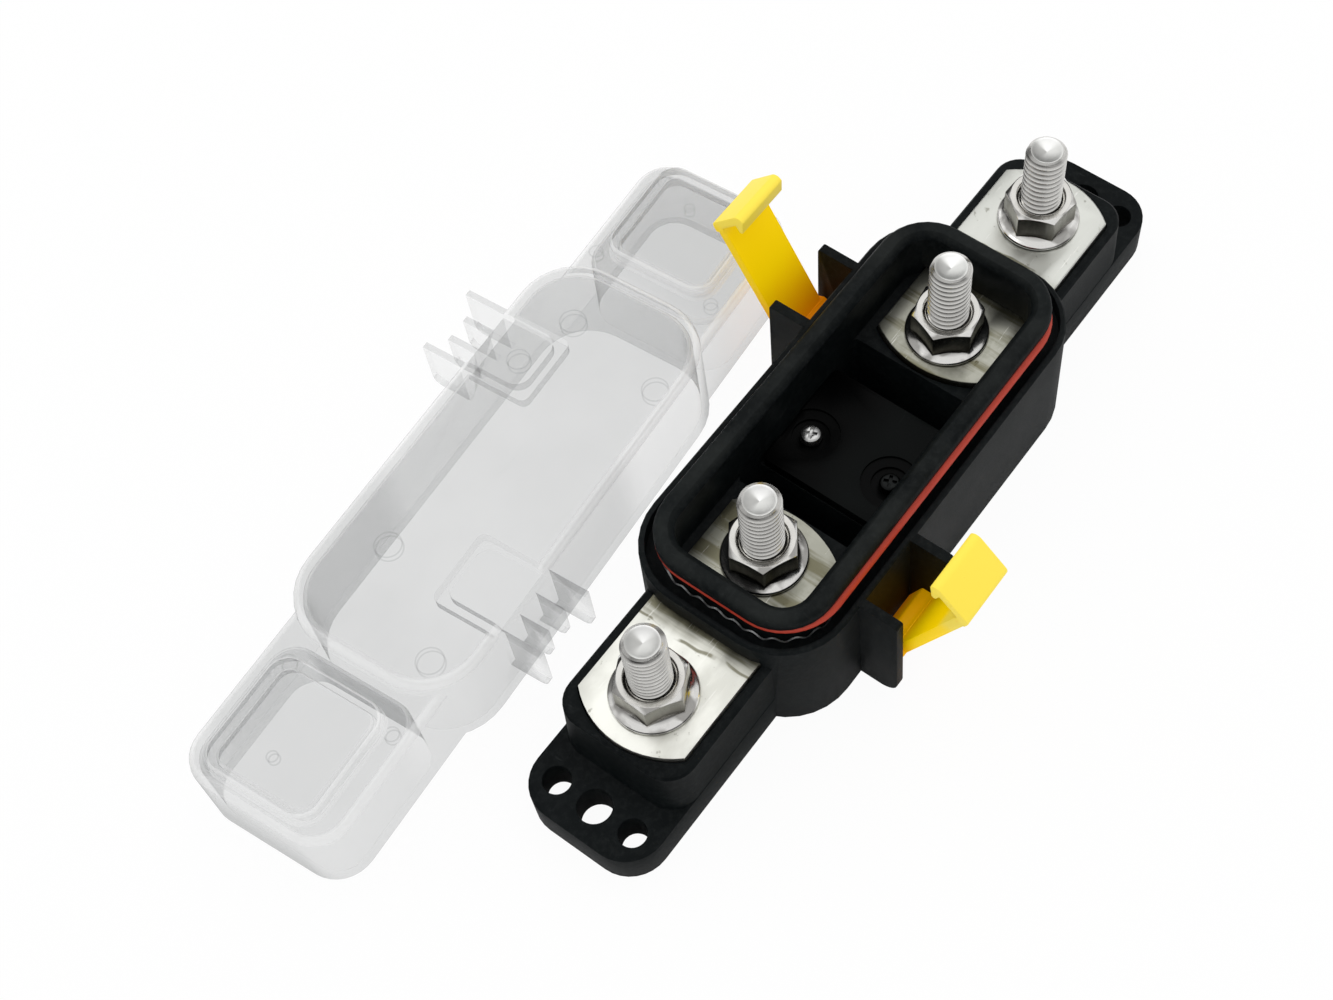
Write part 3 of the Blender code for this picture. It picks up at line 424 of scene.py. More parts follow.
def nut_finish():
    """Stainless nut: dull turned face, forged flats darkened by a painted dark reflection that
    lightens upwards, a flange painted in bright and dark reflection patches, and a painted dark
    reflection along the flange's rim.
    """
    finish = Finish("nut_stainless", Metallic=1.0)
    _, _, z, radius = finish.own()
    upward = finish.upward()
    fine = finish.noise(1000.0, 4.0, 0.6)
    drawn = finish.noise(420.0, 4.0, 0.7, finish.place((1.0, 1.0, 0.12)))
    blotch = finish.span(finish.noise(190.0, 4.0, 0.6), 0.38, 0.66)
    flats = upward.below(0.2) * z.above(NUT_FLATS_FROM)
    face = z.above(NUT_FACE_FROM) * upward.above(0.9)
    turned = (radius * 30.0).wave() * 0.5 + 0.5
    # Painted reflections: bright and dark patches on the flange and the other surfaces off the
    # flats.
    smear = finish.span(finish.noise(170.0, 2.0, 0.4), 0.44, 0.54)
    bright = finish.tint(smear * 0.8, (1.0, 0.99, 0.96), (0.36, 0.35, 0.33))
    # Painted dark reflection on the flats, lightening towards the top, with drawn lines.
    painted_rise_on_flats = finish.span(z, *NUT_FLATS_RISE) * 0.6 + finish.span(drawn, 0.4, 0.62) * 0.25
    side = finish.tint(painted_rise_on_flats, (0.20, 0.19, 0.17), (0.60, 0.59, 0.55))
    top = finish.tint(blotch * 0.2 + turned * 0.15, (0.62, 0.61, 0.58), (0.46, 0.45, 0.43))
    face = face * finish.span(radius, *NUT_FACE_EDGE)
    # Painted dark reflection of the chamber along the flange's rim near its seat.
    skirt_painted_reflection = finish.span(radius, *NUT_SKIRT_EDGE) * z.below(NUT_SKIRT_TOP)
    colour = finish.tint(face, finish.tint(flats, bright, side), top)
    finish.set(
        Base_Color=finish.tint(skirt_painted_reflection * 0.45, colour, (0.13, 0.12, 0.11)),
        Roughness=blotch * 0.04 + fine * 0.05 + face * 0.1 + flats * 0.06 + 0.12,
        Normal=finish.bump(fine * 0.3 + turned * face * 0.4 + drawn * flats * 0.4, 0.009),
    )
    return finish.material


def screw_finish():
    """Plated steel, showing wear at the back screw, with painted shade that turns the front one
    nearly black.
    """
    finish = Finish("screw_plated_steel", Metallic=1.0)
    fine = finish.noise(1500.0, 4.0, 0.6)
    wear_and_glint_breakup = finish.span(finish.noise(500.0, 3.0), 0.4, 0.65)
    plated = finish.tint(wear_and_glint_breakup, (0.62, 0.62, 0.61), (0.28, 0.28, 0.28))
    # Painted shade: the front screw, in its deep recess, is painted nearly black.
    front_painted_shade = finish.span(finish.axis("Y"), *SCREW_PAINTED_SHADE)
    finish.set(
        Base_Color=finish.tint(front_painted_shade, plated, (0.014, 0.015, 0.015)),
        Roughness=wear_and_glint_breakup * 0.12 + fine * 0.1 + 0.2,
        Normal=finish.bump(fine, 0.012),
    )
    return finish.material


def housing_finish():
    """Glass-filled black nylon: fine grain, dust, lighter patches towards the top of the lip,
    faint scuffs.
    """
    finish = Finish("housing_nylon_moulded", Specular_IOR_Level=0.06)
    grain = finish.noise(2600.0, 4.0, 0.62)
    broad = finish.noise(38.0, 4.0, 0.55)
    cloud = finish.span(broad, 0.35, 0.7)
    scuffs = finish.span(finish.noise(420.0, 5.0, 0.7, finish.place((1, 0.22, 1))), 0.64, 0.78)
    specks = finish.span(finish.noise(3800.0, 2.0), 0.7, 0.78) * finish.span(broad, 0.42, 0.6)
    patches = finish.span(finish.noise(90.0, 4.0), 0.3, 0.7)
    # Lighter in patches towards the top of the lip.
    lip = finish.span(finish.axis("Z"), *LIP_LIGHTER) * patches
    dust = finish.span(finish.noise(700.0, 5.0, 0.7), 0.42, 0.68)
    base = finish.tint(cloud, (0.0030, 0.0042, 0.0046), (0.0062, 0.0082, 0.0088))
    base = finish.tint(lip * 0.6, base, (0.020, 0.0225, 0.0215))
    base = finish.tint(dust * 0.22, base, (0.026, 0.029, 0.029))
    marked = finish.tint(scuffs * 0.16 + specks * 0.22, base, (0.10, 0.106, 0.106))
    finish.set(
        Base_Color=marked,
        Roughness=cloud * 0.06 + grain * 0.1 + 0.4,
        Normal=finish.bump(grain, 0.05, 0.55),
    )
    return finish.material


def insert_finish():
    """Black nylon with painted shade from the chamber, darkest at its back and around the screws.
    """
    finish = Finish("insert_nylon_moulded", Specular_IOR_Level=0.05)
    grain = finish.noise(2200.0, 4.0, 0.6)
    broad = finish.noise(60.0, 3.0)
    scratch = finish.span(finish.noise(500.0, 5.0, 0.7, finish.place((0.2, 1.4, 1))), 0.66, 0.74)
    x, y = finish.axis("X"), finish.axis("Y")
    base = finish.tint(broad, (0.0020, 0.0028, 0.0027), (0.0036, 0.0048, 0.0045))
    # Painted shade: darker towards the back of the chamber.
    base = finish.tint(finish.span(y + broad * 6.0, *INSERT_SHADE), base, (0.0004, 0.0005, 0.0005))
    # Painted shade in the screw recesses.
    for side in ("front", "back"):
        off_x, off_y = (at - middle(f"chamber_screw_{side}", i) for i, at in enumerate((x, y)))
        hollow_painted_shade = finish.span(distance(off_x, off_y), *SCREW_HOLLOW_SHADE)
        base = finish.tint(hollow_painted_shade * 0.8, base, (0.0006, 0.0007, 0.0007))
    finish.set(
        Base_Color=finish.tint(scratch * 0.06, base, (0.06, 0.065, 0.065)),
        Roughness=broad * 0.1 + 0.33,
        Normal=finish.bump(grain, 0.035, 0.5),
    )
    return finish.material


def plate_finish():
    """Tin-plated copper: satin, smudged, scratched, with painted shade inside the chamber and on
    the far plate, and a dark olive band along the walls that is partly staining and partly painted
    reflection of the black walls.
    """
    finish = Finish("bus_plate_tinned", Metallic=1.0)
    x = finish.axis("X")
    # Painted shade inside the chamber, mottled.
    inside = finish.span(abs(x), *PLATE_CHAMBER_SHADE)
    smear = finish.noise(70.0, 5.0, 0.6, finish.place((0.5, 1.0, 1.0), (0, 0, 0.5)))
    brushed = finish.noise(260.0, 4.0, 0.7, finish.place((1.0, 26.0, 1.0)))
    spots = finish.span(finish.noise(520.0, 3.0), 0.66, 0.74)
    rubs = finish.noise(330.0, 6.0, 0.75, finish.place((0.16, 3.2, 1.0), (0, 0, 0.7)))
    scratch = finish.span(rubs, 0.62, 0.66)
    film = finish.span(smear, 0.42, 0.66)
    # Dark olive band along the wall: partly staining, partly painted reflection of the black wall.
    wall = finish.span(abs(x) + finish.noise(60.0, 2.0) * 3.0, *PLATE_AT_WALL)
    streak = finish.span(finish.noise(240.0, 4.0, 0.6, finish.place((1.0, 0.08, 1.0))), 0.46, 0.6)
    mottle = finish.span(finish.noise(140.0, 5.0, 0.65), 0.45, 0.62)
    wander = finish.noise(75.0, 2.0) * 5.0
    # A thin dark line along the wall, part of that band.
    seam_stain_and_reflection = finish.span(abs(abs(x) + wander - PLATE_SEAM), *PLATE_SEAM_EDGE)
    seam_stain_and_reflection = seam_stain_and_reflection * finish.span(finish.noise(130.0, 3.0), 0.45, 0.58)
    # Painted shade: the far plate is darker.
    far = finish.span(x, *PLATE_FAR_SHADE)
    base = finish.tint(film, (0.88, 0.88, 0.82), (0.74, 0.74, 0.68))
    base = finish.tint(far * 0.55, base, (0.44, 0.455, 0.43))
    base = finish.tint(inside * 0.5 + inside * mottle * 0.3, base, (0.36, 0.37, 0.325))
    stain_and_wall_reflection = spots * 0.4 + wall * (streak * 0.5 + 0.45)
    stained_and_reflecting = finish.tint(stain_and_wall_reflection.greater(seam_stain_and_reflection * 0.85), base, (0.17, 0.16, 0.10))
    finish.set(
        Base_Color=finish.tint(scratch * 0.5, stained_and_reflecting, (0.95, 0.94, 0.9)),
        Roughness=film * 0.1 + brushed * 0.12 + spots * 0.15 + 0.26,
        Normal=finish.bump(brushed * 0.6 + scratch * 0.4, 0.008),
    )
    return finish.material


def gasket_finish():
    """Red silicone cord, a little uneven in colour."""
    finish = Finish("gasket_silicone", Specular_IOR_Level=0.35)
    mottled = finish.noise(240.0, 4.0, 0.6)
    fine = finish.noise(1800.0, 3.0)
    base = finish.tint(mottled, (0.36, 0.026, 0.012), (0.50, 0.050, 0.024))
    finish.set(
        Base_Color=base,
        Roughness=mottled * 0.15 + 0.42,
        Normal=finish.bump(fine, 0.03, 0.5),
    )
    return finish.material


def bead_finish():
    """The moulded bead around the stem: dark, with a painted glint along its crest that grows
    towards its ends.
    """
    finish = Finish("bead_nylon_painted_glint", Specular_IOR_Level=0.3)
    # Noise that breaks up the painted glint.
    wear_and_glint_breakup = finish.span(finish.noise(300.0, 3.0), 0.38, 0.6)
    low, high = BEAD_LEVEL - BEAD_RISE, BEAD_LEVEL + BEAD_RISE
    # Painted highlight: the wave crests are painted bright, more so towards the ends.
    crest = finish.span(finish.axis("Z"), low, high, 0.35, 1.0)
    end = finish.span(abs(finish.axis("X")), *BEAD_CORNERS) * 0.75 + 0.15
    base = finish.tint(crest * (wear_and_glint_breakup * 0.7 + 0.3) * end, (0.012, 0.014, 0.015), (0.62, 0.64, 0.64))
    finish.set(Base_Color=base, Roughness=0.22)
    return finish.material


def latch_finish():
    """Yellow nylon with a painted glow, painted shade as deeper orange towards the pivot and a
    painted highlight as paler yellow at the top.
    """
    # The emission is a painted glow; the latch is no lamp.
    finish = Finish("latch_yellow_nylon", Specular_IOR_Level=0.15, Emission_Strength=0.2)
    flow = finish.noise(90.0, 3.0)
    fine = finish.noise(1900.0, 4.0)
    specks = finish.span(finish.noise(1300.0, 2.0), 0.72, 0.78)
    # Painted shade and highlight by height, shifted by noise and yellower towards -Y.
    rise = finish.axis("Z") + flow * 5.0 + finish.span(finish.axis("Y"), *LATCH_SHADE_SHIFT) * 7.0
    deep = finish.tint(finish.span(rise, *LATCH_PAINTED_SHADE), (0.84, 0.21, 0.0), (1.0, 0.68, 0.0))
    base = finish.tint(finish.span(rise, *LATCH_PAINTED_HIGHLIGHT), deep, (0.86, 0.68, 0.075))
    finish.set(
        Base_Color=finish.tint(specks * 0.2, base, (0.45, 0.25, 0.02)),
        Emission_Color=base,
        Roughness=flow * 0.12 + 0.36,
        Normal=finish.bump(fine, 0.03, 0.5),
    )
    return finish.material


def clear_finish():
    """Clear moulding: each wall dims what is behind it, edges most, with painted shade that dims
    the front walls and the far half more, a soft glossy reflection, and painted highlights on the
    rounded edges.
    """
    finish = Finish("cover_clear_polycarbonate", Base_Color=(0.97, 0.97, 0.97), IOR=1.5)
    fine = finish.noise(500.0, 3.0)
    cloud = finish.span(finish.noise(28.0, 4.0, 0.6), 0.3, 0.7)
    flow = finish.span(finish.noise(240.0, 4.0, 0.7, finish.place((0.3, 1.0, 1.0))), 0.55, 0.75)
    normal = finish.bump(fine * 0.5 + flow * 0.5, 0.02, 0.5)
    finish.set(Roughness=fine * 0.05 + 0.06, Normal=normal)
    steep = finish.span(finish.add("LayerWeight", None, {"Blend": 0.5}, "Facing"), 0.72, 0.98)
    level = abs(finish.upward())
    flat = finish.span(level, 0.86, 0.97)
    rounded = finish.span(level, 0.98, 0.9) * finish.span(level, 0.12, 0.3)
    side = finish.add("Attribute", {"attribute_name": "painted_shade_side"}, output="Fac")
    x, y = finish.axis("X"), finish.axis("Y")
    marks = 0.0
    for along, across, size in EJECTOR_MARKS:
        centre = COVER_CENTRE + Matrix.Rotation(COVER_TURN, 2) @ Vector((along, across))
        off_line = abs(distance(x - centre.x, y - centre.y) - size)
        marks = finish.span(off_line, *MARK_LINE).greater(marks)
    wall_dim_and_painted_shade = between(cloud * 0.6 + flow * 0.25, 0.381, 0.508)
    # Painted shade: the far half of the cover dims more.
    wall_dim_and_painted_shade = between(finish.span(x, *COVER_FAR_SHADE) * 0.4, wall_dim_and_painted_shade, 0.873)
    # Painted shade: front walls dim more than back walls and combs.
    wall_dim_and_painted_shade = between(flat, finish.span(side, -0.25, 0.25, 0.0, 0.317), wall_dim_and_painted_shade)
    wall_dim_and_painted_shade = between(marks * flat * 0.5, wall_dim_and_painted_shade, 1.127)
    wall_dim_and_painted_shade = between(steep, wall_dim_and_painted_shade, 1.0)
    mirror = finish.add("Fresnel", None, {"IOR": 1.45, "Normal": normal}).lesser(0.35)
    shadow = finish.add("LightPath", output="Is Shadow Ray")
    # Painted highlights: the rounded edges take a share of the white shader, besides the Fresnel
    # reflection.
    gloss_and_painted_highlight = (mirror * 0.5 + rounded * 0.3) * (1.0 - shadow)
    dimmed = wall_dim_and_painted_shade * (1.0 - gloss_and_painted_highlight)
    wall = finish.add("BsdfTransparent", None, {"Color": THIN_WALL})
    finish.blend(1.0 - gloss_and_painted_highlight / (1.0 - dimmed), wall)
    finish.blend(dimmed, finish.add("BsdfTransparent", None, {"Color": THICK_EDGE}))
    return finish.material


def floor_finish():
    """Pale floor that the camera sees nearly white, with the block's shadow on it."""
    finish = Finish("studio_floor", Roughness=0.9, Specular_IOR_Level=0.1)
    soft = finish.noise(6.0, 2.0)
    finish.set(Base_Color=finish.tint(soft, (0.88, 0.88, 0.88), (0.9, 0.9, 0.9)))
    camera = finish.add("LightPath", output="Is Camera Ray")
    glow = finish.add("Emission", None, {"Color": (1.0, 1.0, 1.0), "Strength": 1.0})
    finish.blend(camera * 0.95, glow)
    return finish.material


# Modelling


def clear_selection():
    """Nothing selected, in object mode."""
    if bpy.context.object and bpy.context.object.mode != "OBJECT":
        bpy.ops.object.mode_set(mode="OBJECT")
    bpy.ops.object.select_all(action="DESELECT")


def work_on(obj):
    """This object alone selected and active."""
    clear_selection()
    obj.select_set(True)
    bpy.context.view_layer.objects.active = obj


def apply_modifier(obj, kind, **settings):
    """Adds a modifier with its settings and applies it."""
    modifier = obj.modifiers.new(kind.lower(), kind)
    for key, setting in settings.items():
        setattr(modifier, key, setting)
    work_on(obj)
    bpy.ops.object.modifier_apply(modifier=modifier.name)
    return obj


def copy_of_node(node, name):
    """The CAD node's shape as one joined mesh."""
    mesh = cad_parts[node].data.copy()
    obj = bpy.data.objects.new(name, mesh)
    bpy.context.scene.collection.objects.link(obj)
    work_on(obj)
    bpy.ops.object.mode_set(mode="EDIT")
    bpy.ops.mesh.select_all(action="SELECT")
    bpy.ops.mesh.remove_doubles(threshold=MERGE_DISTANCE)
    bpy.ops.mesh.customdata_custom_splitnormals_clear()
    bpy.ops.mesh.dissolve_limited(angle_limit=FLAT_ANGLE)
    bpy.ops.object.mode_set(mode="OBJECT")
    return obj


def soften(obj, width, segments=2, angle=28.0):
    """Rounds the sharp edges as the tool that made the piece would leave them."""
    return apply_modifier(
        obj,
        "BEVEL",
        width=width * MM,
        segments=segments,
        limit_method="ANGLE",
        angle_limit=math.radians(angle),
        use_clamp_overlap=True,
        miter_outer="MITER_ARC",
    )


def smooth(obj, angle=32.0):
    """Shades as round where the faces meet at less than an angle."""
    work_on(obj)
    bpy.ops.object.shade_smooth_by_angle(angle=math.radians(angle))
    return obj


def finish_piece(obj, material, body, nodes=()):
    """The piece's material, the body it rides on and the CAD nodes it stands for."""
    obj.data.materials.clear()
    obj.data.materials.append(material)
    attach(obj, body)
    if nodes:
        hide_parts(*nodes)


def turned(name, rings, sides=64):
    """A solid of revolution about Z: a disc, then rings of (radius, height)."""
    clear_selection()
    radius, height = rings[0]
    bpy.ops.mesh.primitive_circle_add(
        vertices=sides, radius=radius * MM, location=(0, 0, height * MM), fill_type="NGON"
    )
    obj = bpy.context.object
    obj.name = name
    bpy.ops.object.transform_apply(location=True)
    bpy.ops.object.mode_set(mode="EDIT")
    bpy.ops.mesh.select_all(action="SELECT")
    for next_radius, next_height in rings[1:]:
        rise = (next_height - height) * MM
        bpy.ops.mesh.extrude_region_move(TRANSFORM_OT_translate={"value": (0, 0, rise)})
        share = next_radius / radius
        bpy.ops.transform.resize(
            value=(share, share, 1), center_override=(0, 0, next_height * MM)
        )
        radius, height = next_radius, next_height
    bpy.ops.mesh.select_all(action="SELECT")
    bpy.ops.mesh.normals_make_consistent(inside=False)
    bpy.ops.object.mode_set(mode="OBJECT")
    return obj


def cut(obj, tool, operation="DIFFERENCE"):
    """Cuts, joins or trims one solid by another, which is used up."""
    apply_modifier(obj, "BOOLEAN", object=tool, operation=operation, solver="EXACT")
    bpy.data.objects.remove(tool)
    return obj


def keep_home(obj):
    """Keeps every vertex's place about the piece's own axis for its material."""
    home = obj.data.attributes.new("home", "FLOAT_VECTOR", "POINT")
    for corner, vertex in zip(home.data, obj.data.vertices):
        corner.vector = vertex.co
    return obj


def keep_painted_shade_side(obj):
    """Marks the cover's walls from 1, at the front of the body or of a flap, to -1 at its back,
    for the painted shade that dims the front walls more.
    """
    side = obj.data.attributes.new("painted_shade_side", "FLOAT", "POINT")
    along = Vector((math.cos(COVER_TURN), math.sin(COVER_TURN)))
    across = Vector((-math.sin(COVER_TURN), math.cos(COVER_TURN)))
    for corner, vertex in zip(side.data, obj.data.vertices):
        off = vertex.co.xy / MM - COVER_CENTRE
        reach = off.dot(along)
        if abs(reach) > COVER_BODY_REACH:
            off -= along * math.copysign(COVER_FLAP_REACH, reach)
        comb = abs(off.dot(across)) > COVER_SIDE
        corner.value = -1.0 if comb else off.dot(COVER_FRONT) / COVER_HALF_WIDTH
    return obj


def copy_at(obj, name, x, turn):
    """A copy with its own mesh, turned about its own axis and moved along the block."""
    copy = bpy.data.objects.new(name, obj.data.copy())
    bpy.context.scene.collection.objects.link(copy)
    copy.data.transform(
        Matrix.Translation((x * MM, 0, 0)) @ Matrix.Rotation(math.radians(turn), 4, "Z")
    )
    return copy


def threaded_rod(name, low, high):
    """A right-hand thread swept by the Screw modifier and closed at both ends."""
    clear_selection()
    turns = math.ceil((high - low) / THREAD_PITCH) + THREAD_SPARE_TURNS
    start = low - THREAD_SPARE_TURNS / 2 * THREAD_PITCH
    rising = [(radius, THREAD_MIDDLE - off) for radius, off in THREAD_FLANK]
    falling = [(radius, THREAD_MIDDLE + off) for radius, off in reversed(THREAD_FLANK)]
    outline = [(THREAD_ROOT, 0.0), *rising, *falling, (THREAD_ROOT, THREAD_PITCH)]
    bpy.ops.mesh.primitive_plane_add(size=MM, location=(THREAD_ROOT * MM, 0, start * MM))
    obj = bpy.context.object
    obj.name = name
    bpy.ops.object.transform_apply(location=True)
    bpy.ops.object.mode_set(mode="EDIT")
    bpy.ops.mesh.select_all(action="SELECT")
    bpy.ops.mesh.merge(type="CENTER")
    for (radius, rise), (next_radius, next_rise) in zip(outline, outline[1:]):
        step = ((next_radius - radius) * MM, 0, (next_rise - rise) * MM)
        bpy.ops.mesh.extrude_region_move(TRANSFORM_OT_translate={"value": step})
    bpy.ops.object.mode_set(mode="OBJECT")
    apply_modifier(
        obj,
        "SCREW",
        axis="Z",
        steps=THREAD_STEPS,
        render_steps=THREAD_STEPS,
        screw_offset=THREAD_PITCH * MM,
        iterations=turns,
        use_merge_vertices=False,
    )
    bpy.ops.object.mode_set(mode="EDIT")
    bpy.ops.mesh.select_all(action="SELECT")
    bpy.ops.mesh.remove_doubles(threshold=MERGE_DISTANCE)
    for level, upper in ((low, False), (high, True)):
        bpy.ops.mesh.select_all(action="SELECT")
        bpy.ops.mesh.bisect(
            plane_co=(0, 0, level * MM),
            plane_no=(0, 0, 1),
            use_fill=True,
            clear_inner=not upper,
            clear_outer=upper,
        )
    bpy.ops.mesh.select_all(action="SELECT")
    bpy.ops.mesh.normals_make_consistent(inside=False)
    bpy.ops.object.mode_set(mode="OBJECT")
    return obj


def hexagon(name, flats, low, high, corner):
    """A hexagonal head with its upper corners turned down to a corner radius."""
    clear_selection()
    point = flats / math.sqrt(3)
    bpy.ops.mesh.primitive_cylinder_add(
        vertices=6,
        radius=point * MM,
        depth=(high - low) * MM,
        location=(0, 0, (low + high) / 2 * MM),
    )
    obj = bpy.context.object
    obj.name = name
    bpy.ops.object.transform_apply(location=True)
    over = point + CORNER_REACH
    drop = (over - corner) * math.tan(CORNER_SLOPE)
    lid = (corner - CORNER_LID[0], high + CORNER_LID[1])
    rings = ((over, low - OVERLAP), (over, high - drop), (corner, high), lid)
    return cut(obj, turned("corner_turning", rings), "INTERSECT")


def build_stud():
    """A threaded rod with a chamfered, dished tip and a hexagonal head under the plate."""
    rod = threaded_rod("stud_thread", STUD_HEAD_TOP - OVERLAP, STUD_TIP + ROD_SPARE)
    shoulder = STUD_TIP - (TIP_TOOL_RADIUS - STUD_TIP_RADIUS) * TIP_SLOPE
    rings = [(TIP_TOOL_RADIUS, STUD_BASE), (TIP_TOOL_RADIUS, shoulder)]
    rings += [(radius, STUD_TIP - depth) for radius, depth in TIP_DISH]
    cut(rod, turned("tip_turning", rings), "INTERSECT")
    head = hexagon("stud_head", STUD_HEAD_FLATS, STUD_BASE, STUD_HEAD_TOP, STUD_HEAD_CORNER)
    return cut(rod, head, "UNION")


def build_nut():
    """A flange nut: chamfered hexagon, domed flange and countersunk bore."""
    body = hexagon("nut_body", NUT_FLATS, NUT_BOTTOM + OVERLAP, NUT_TOP, NUT_CORNER)
    dome = [(radius, NUT_BOTTOM + height) for radius, height in FLANGE_DOME]
    cut(body, turned("nut_flange", dome, FLANGE_SIDES), "UNION")
    foot, foot_depth = BORE_FOOT
    mouth, mouth_depth = BORE_MOUTH
    rings = (
        (foot, NUT_BOTTOM - OVERLAP),
        (foot, NUT_BOTTOM),
        (NUT_BORE, NUT_BOTTOM + foot_depth),
        (NUT_BORE, NUT_TOP - mouth_depth),
        (mouth, NUT_TOP),
        (mouth, NUT_TOP + OVERLAP),
    )
    return cut(body, turned("nut_bore", rings))


def rounded_loop(half_length, half_width, corner, step):
    """Points along a rounded rectangle, about a step apart, in millimetres."""
    points = []
    straight = (half_length - corner, half_width - corner)
    bend = math.pi / 2
    arcs = round(corner * bend / step)
    for quarter in range(4):
        centre_x = straight[0] * (1 if quarter in (0, 3) else -1)
        centre_y = straight[1] * (1 if quarter in (0, 1) else -1)
        for i in range(arcs + 1):
            angle = quarter * bend + bend * i / arcs
            x = centre_x + corner * math.cos(angle)
            y = centre_y + corner * math.sin(angle)
            points.append((x, y))
        along = straight[quarter % 2] * 2
        runs = round(along / step)
        for i in range(1, runs):
            reach = along * i / runs
            points.append((x - math.sin(angle) * reach, y + math.cos(angle) * reach))
    return points


def build_bead():
    """A wavy bead around the lip's stem, under the sealing cord."""
    clear_selection()
    points = rounded_loop(BEAD_HALF[0], BEAD_HALF[1], BEAD_CORNER, BEAD_STEP)
    bpy.ops.mesh.primitive_circle_add(vertices=len(points), radius=BEAD_HALF[0] * MM)
    obj = bpy.context.object
    obj.name = "stem_bead"
    for i, (vertex, (x, y)) in enumerate(zip(obj.data.vertices, points)):
        wave = math.sin(2 * math.pi * BEAD_WAVES * i / len(points))
        vertex.co = Vector((x, y, BEAD_LEVEL + BEAD_RISE * wave)) * MM
    bpy.ops.object.convert(target="CURVE")
    obj = bpy.context.object
    obj.data.bevel_depth = BEAD_RADIUS * MM
    obj.data.bevel_resolution = 1
    bpy.ops.object.convert(target="MESH")
    return bpy.context.object


# The pieces

HOUSING = housing_finish()
INSERT = insert_finish()
PLATE = plate_finish()
STUD_STEEL = stud_finish()
NUT_STEEL = nut_finish()
SCREW_STEEL = screw_finish()
BEAD = bead_finish()
GASKET = gasket_finish()
LATCH = latch_finish()
CLEAR = clear_finish()

housing = copy_of_node("base_housing", "housing_moulding")
smooth(soften(housing, EDGE_ROUND["housing"]))
finish_piece(housing, HOUSING, "block", ("base_housing",))

insert = copy_of_node("chamber_insert", "insert_moulding")
smooth(soften(insert, EDGE_ROUND["insert"]))
finish_piece(insert, INSERT, "block", ("chamber_insert",))

for side in ("front", "back"):
    screw = copy_of_node(f"chamber_screw_{side}", f"screw_{side}")
    smooth(soften(screw, EDGE_ROUND["screw"]))
    finish_piece(screw, SCREW_STEEL, "block", (f"chamber_screw_{side}",))
    latch = copy_of_node(f"latch_{side}", f"latch_lever_{side}")
    smooth(soften(latch, EDGE_ROUND["latch"], 3))
    finish_piece(latch, LATCH, f"{side}_latch", (f"latch_{side}",))

for end in ("near", "far"):
    plate = copy_of_node(f"bus_plate_{end}", f"plate_{end}")
    smooth(soften(plate, EDGE_ROUND["plate"], 3))
    finish_piece(plate, PLATE, "block", (f"bus_plate_{end}",))

gasket = smooth(copy_of_node("gasket", "gasket_cord"), 60.0)
finish_piece(gasket, GASKET, "block", ("gasket",))

bead = smooth(build_bead(), 60.0)
finish_piece(bead, BEAD, "block")

stud = keep_home(smooth(build_stud(), 30.0))
nut = keep_home(smooth(soften(build_nut(), EDGE_ROUND["nut"], 2, 24.0), 30.0))
for place, turn in NUT_TURNS.items():
    x = middle(f"stud_{place}", 0)
    rod = copy_at(stud, f"stud_{place}_threaded", x, STUD_TURN)
    finish_piece(rod, STUD_STEEL, "block", (f"stud_{place}",))
    fastener = copy_at(nut, f"nut_{place}_flanged", x, turn)
    finish_piece(fastener, NUT_STEEL, "block", (f"flange_nut_{place}",))
bpy.data.objects.remove(stud)
bpy.data.objects.remove(nut)

cover = copy_of_node("cover", "cover_moulding")
keep_painted_shade_side(smooth(soften(cover, EDGE_ROUND["cover"], 3)))
finish_piece(cover, CLEAR, "block", ("cover",))

# Studio

clear_selection()
bpy.ops.mesh.primitive_plane_add(size=FLOOR_SIZE, location=(0, 0, FLOOR_LEVEL))
floor = bpy.context.object
floor.name = "studio_floor"
floor.data.materials.append(floor_finish())

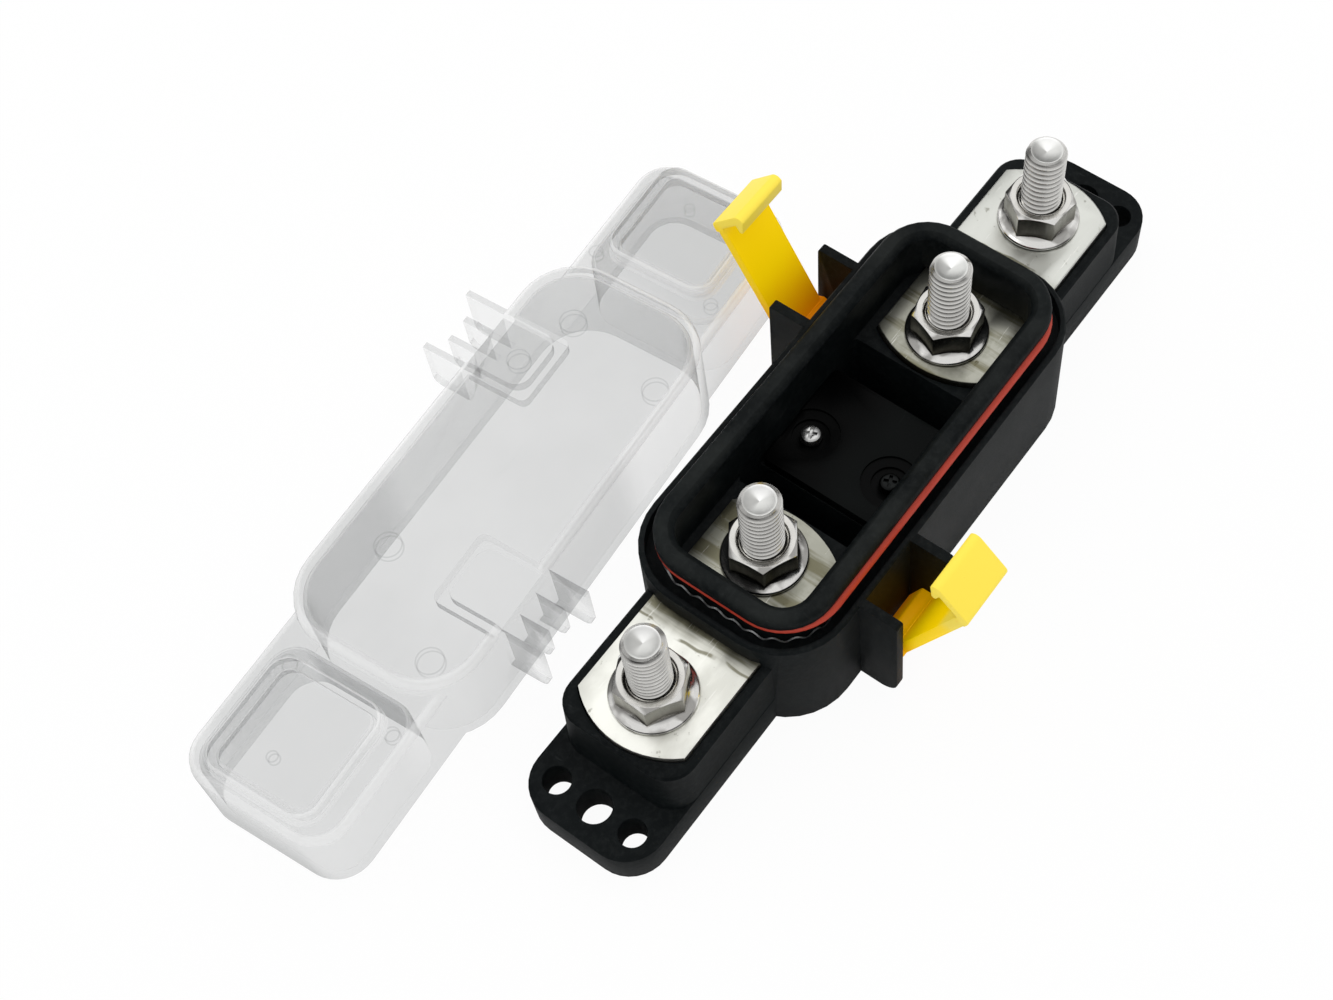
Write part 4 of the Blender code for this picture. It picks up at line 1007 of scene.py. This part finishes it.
back = Vector(
    (
        -math.sin(CAMERA_TURN) * math.cos(CAMERA_RISE),
        -math.cos(CAMERA_TURN) * math.cos(CAMERA_RISE),
        math.sin(CAMERA_RISE),
    )
)
level_right = Vector((0, 0, 1)).cross(back).normalized()
level_up = back.cross(level_right)
right = level_right * math.cos(CAMERA_ROLL) + level_up * math.sin(CAMERA_ROLL)
up = level_up * math.cos(CAMERA_ROLL) - level_right * math.sin(CAMERA_ROLL)
spot = CAMERA_TARGET + back * CAMERA_REACH
camera_data = bpy.data.cameras.new("photo_camera")
camera = bpy.data.objects.new("photo_camera", camera_data)
bpy.context.scene.collection.objects.link(camera)
camera.matrix_world = Matrix(
    (
        (right.x, up.x, back.x, spot.x),
        (right.y, up.y, back.y, spot.y),
        (right.z, up.z, back.z, spot.z),
        (0, 0, 0, 1),
    )
)
camera_data.sensor_width = SENSOR_WIDTH
camera_data.lens = FOCAL_PIXELS / IMAGE_WIDTH * SENSOR_WIDTH
camera_data.shift_x = (IMAGE_WIDTH / 2 - PRINCIPAL_COLUMN) / IMAGE_WIDTH
camera_data.clip_start = 0.01
camera_data.clip_end = 20.0
bpy.context.scene.camera = camera

lamp_data = bpy.data.lights.new("top_box", "AREA")
lamp_data.shape = "RECTANGLE"
lamp_data.size, lamp_data.size_y = LAMP_SIZE
lamp_data.energy = LAMP_POWER
lamp = bpy.data.objects.new("top_box", lamp_data)
bpy.context.scene.collection.objects.link(lamp)
lamp.location = LAMP_PLACE
lamp.rotation_euler = (LAMP_AIM - LAMP_PLACE).to_track_quat("-Z", "Y").to_euler()

world = bpy.data.worlds.new("studio_world")
bpy.context.scene.world = world
world.use_nodes = True
sky = Net(world.node_tree)
surround = world.node_tree.nodes["Background"]
surround.inputs["Color"].default_value = (1.0, 1.0, 1.0, 1.0)
ray = sky.add("TexCoord", output="Generated")
height = sky.toward(ray, (0, 0, 1))
ceiling = sky.span(height, 0.28, 0.62, 0.05, 0.66)
panel = sky.span(sky.toward(ray, RIGHT_PANEL), 0.8, 0.93) * 0.75
panel = panel + sky.span(sky.toward(ray, LEFT_PANEL), 0.86, 0.95) * 0.5
mirrored = ceiling.greater(panel)
glossy = sky.add("LightPath", output="Is Glossy Ray")
direct = sky.add("LightPath", output="Is Camera Ray")
direct = direct.greater(sky.add("LightPath", output="Is Transmission Ray"))
soft = sky.span(height, -0.2, 0.6, 0.84, 0.9)
power = glossy * mirrored + (1.0 - glossy) * soft
plug(sky.tree, surround.inputs["Strength"], direct.greater(power * (1.0 - direct)))

bpy.context.scene.view_settings.view_transform = "Standard"
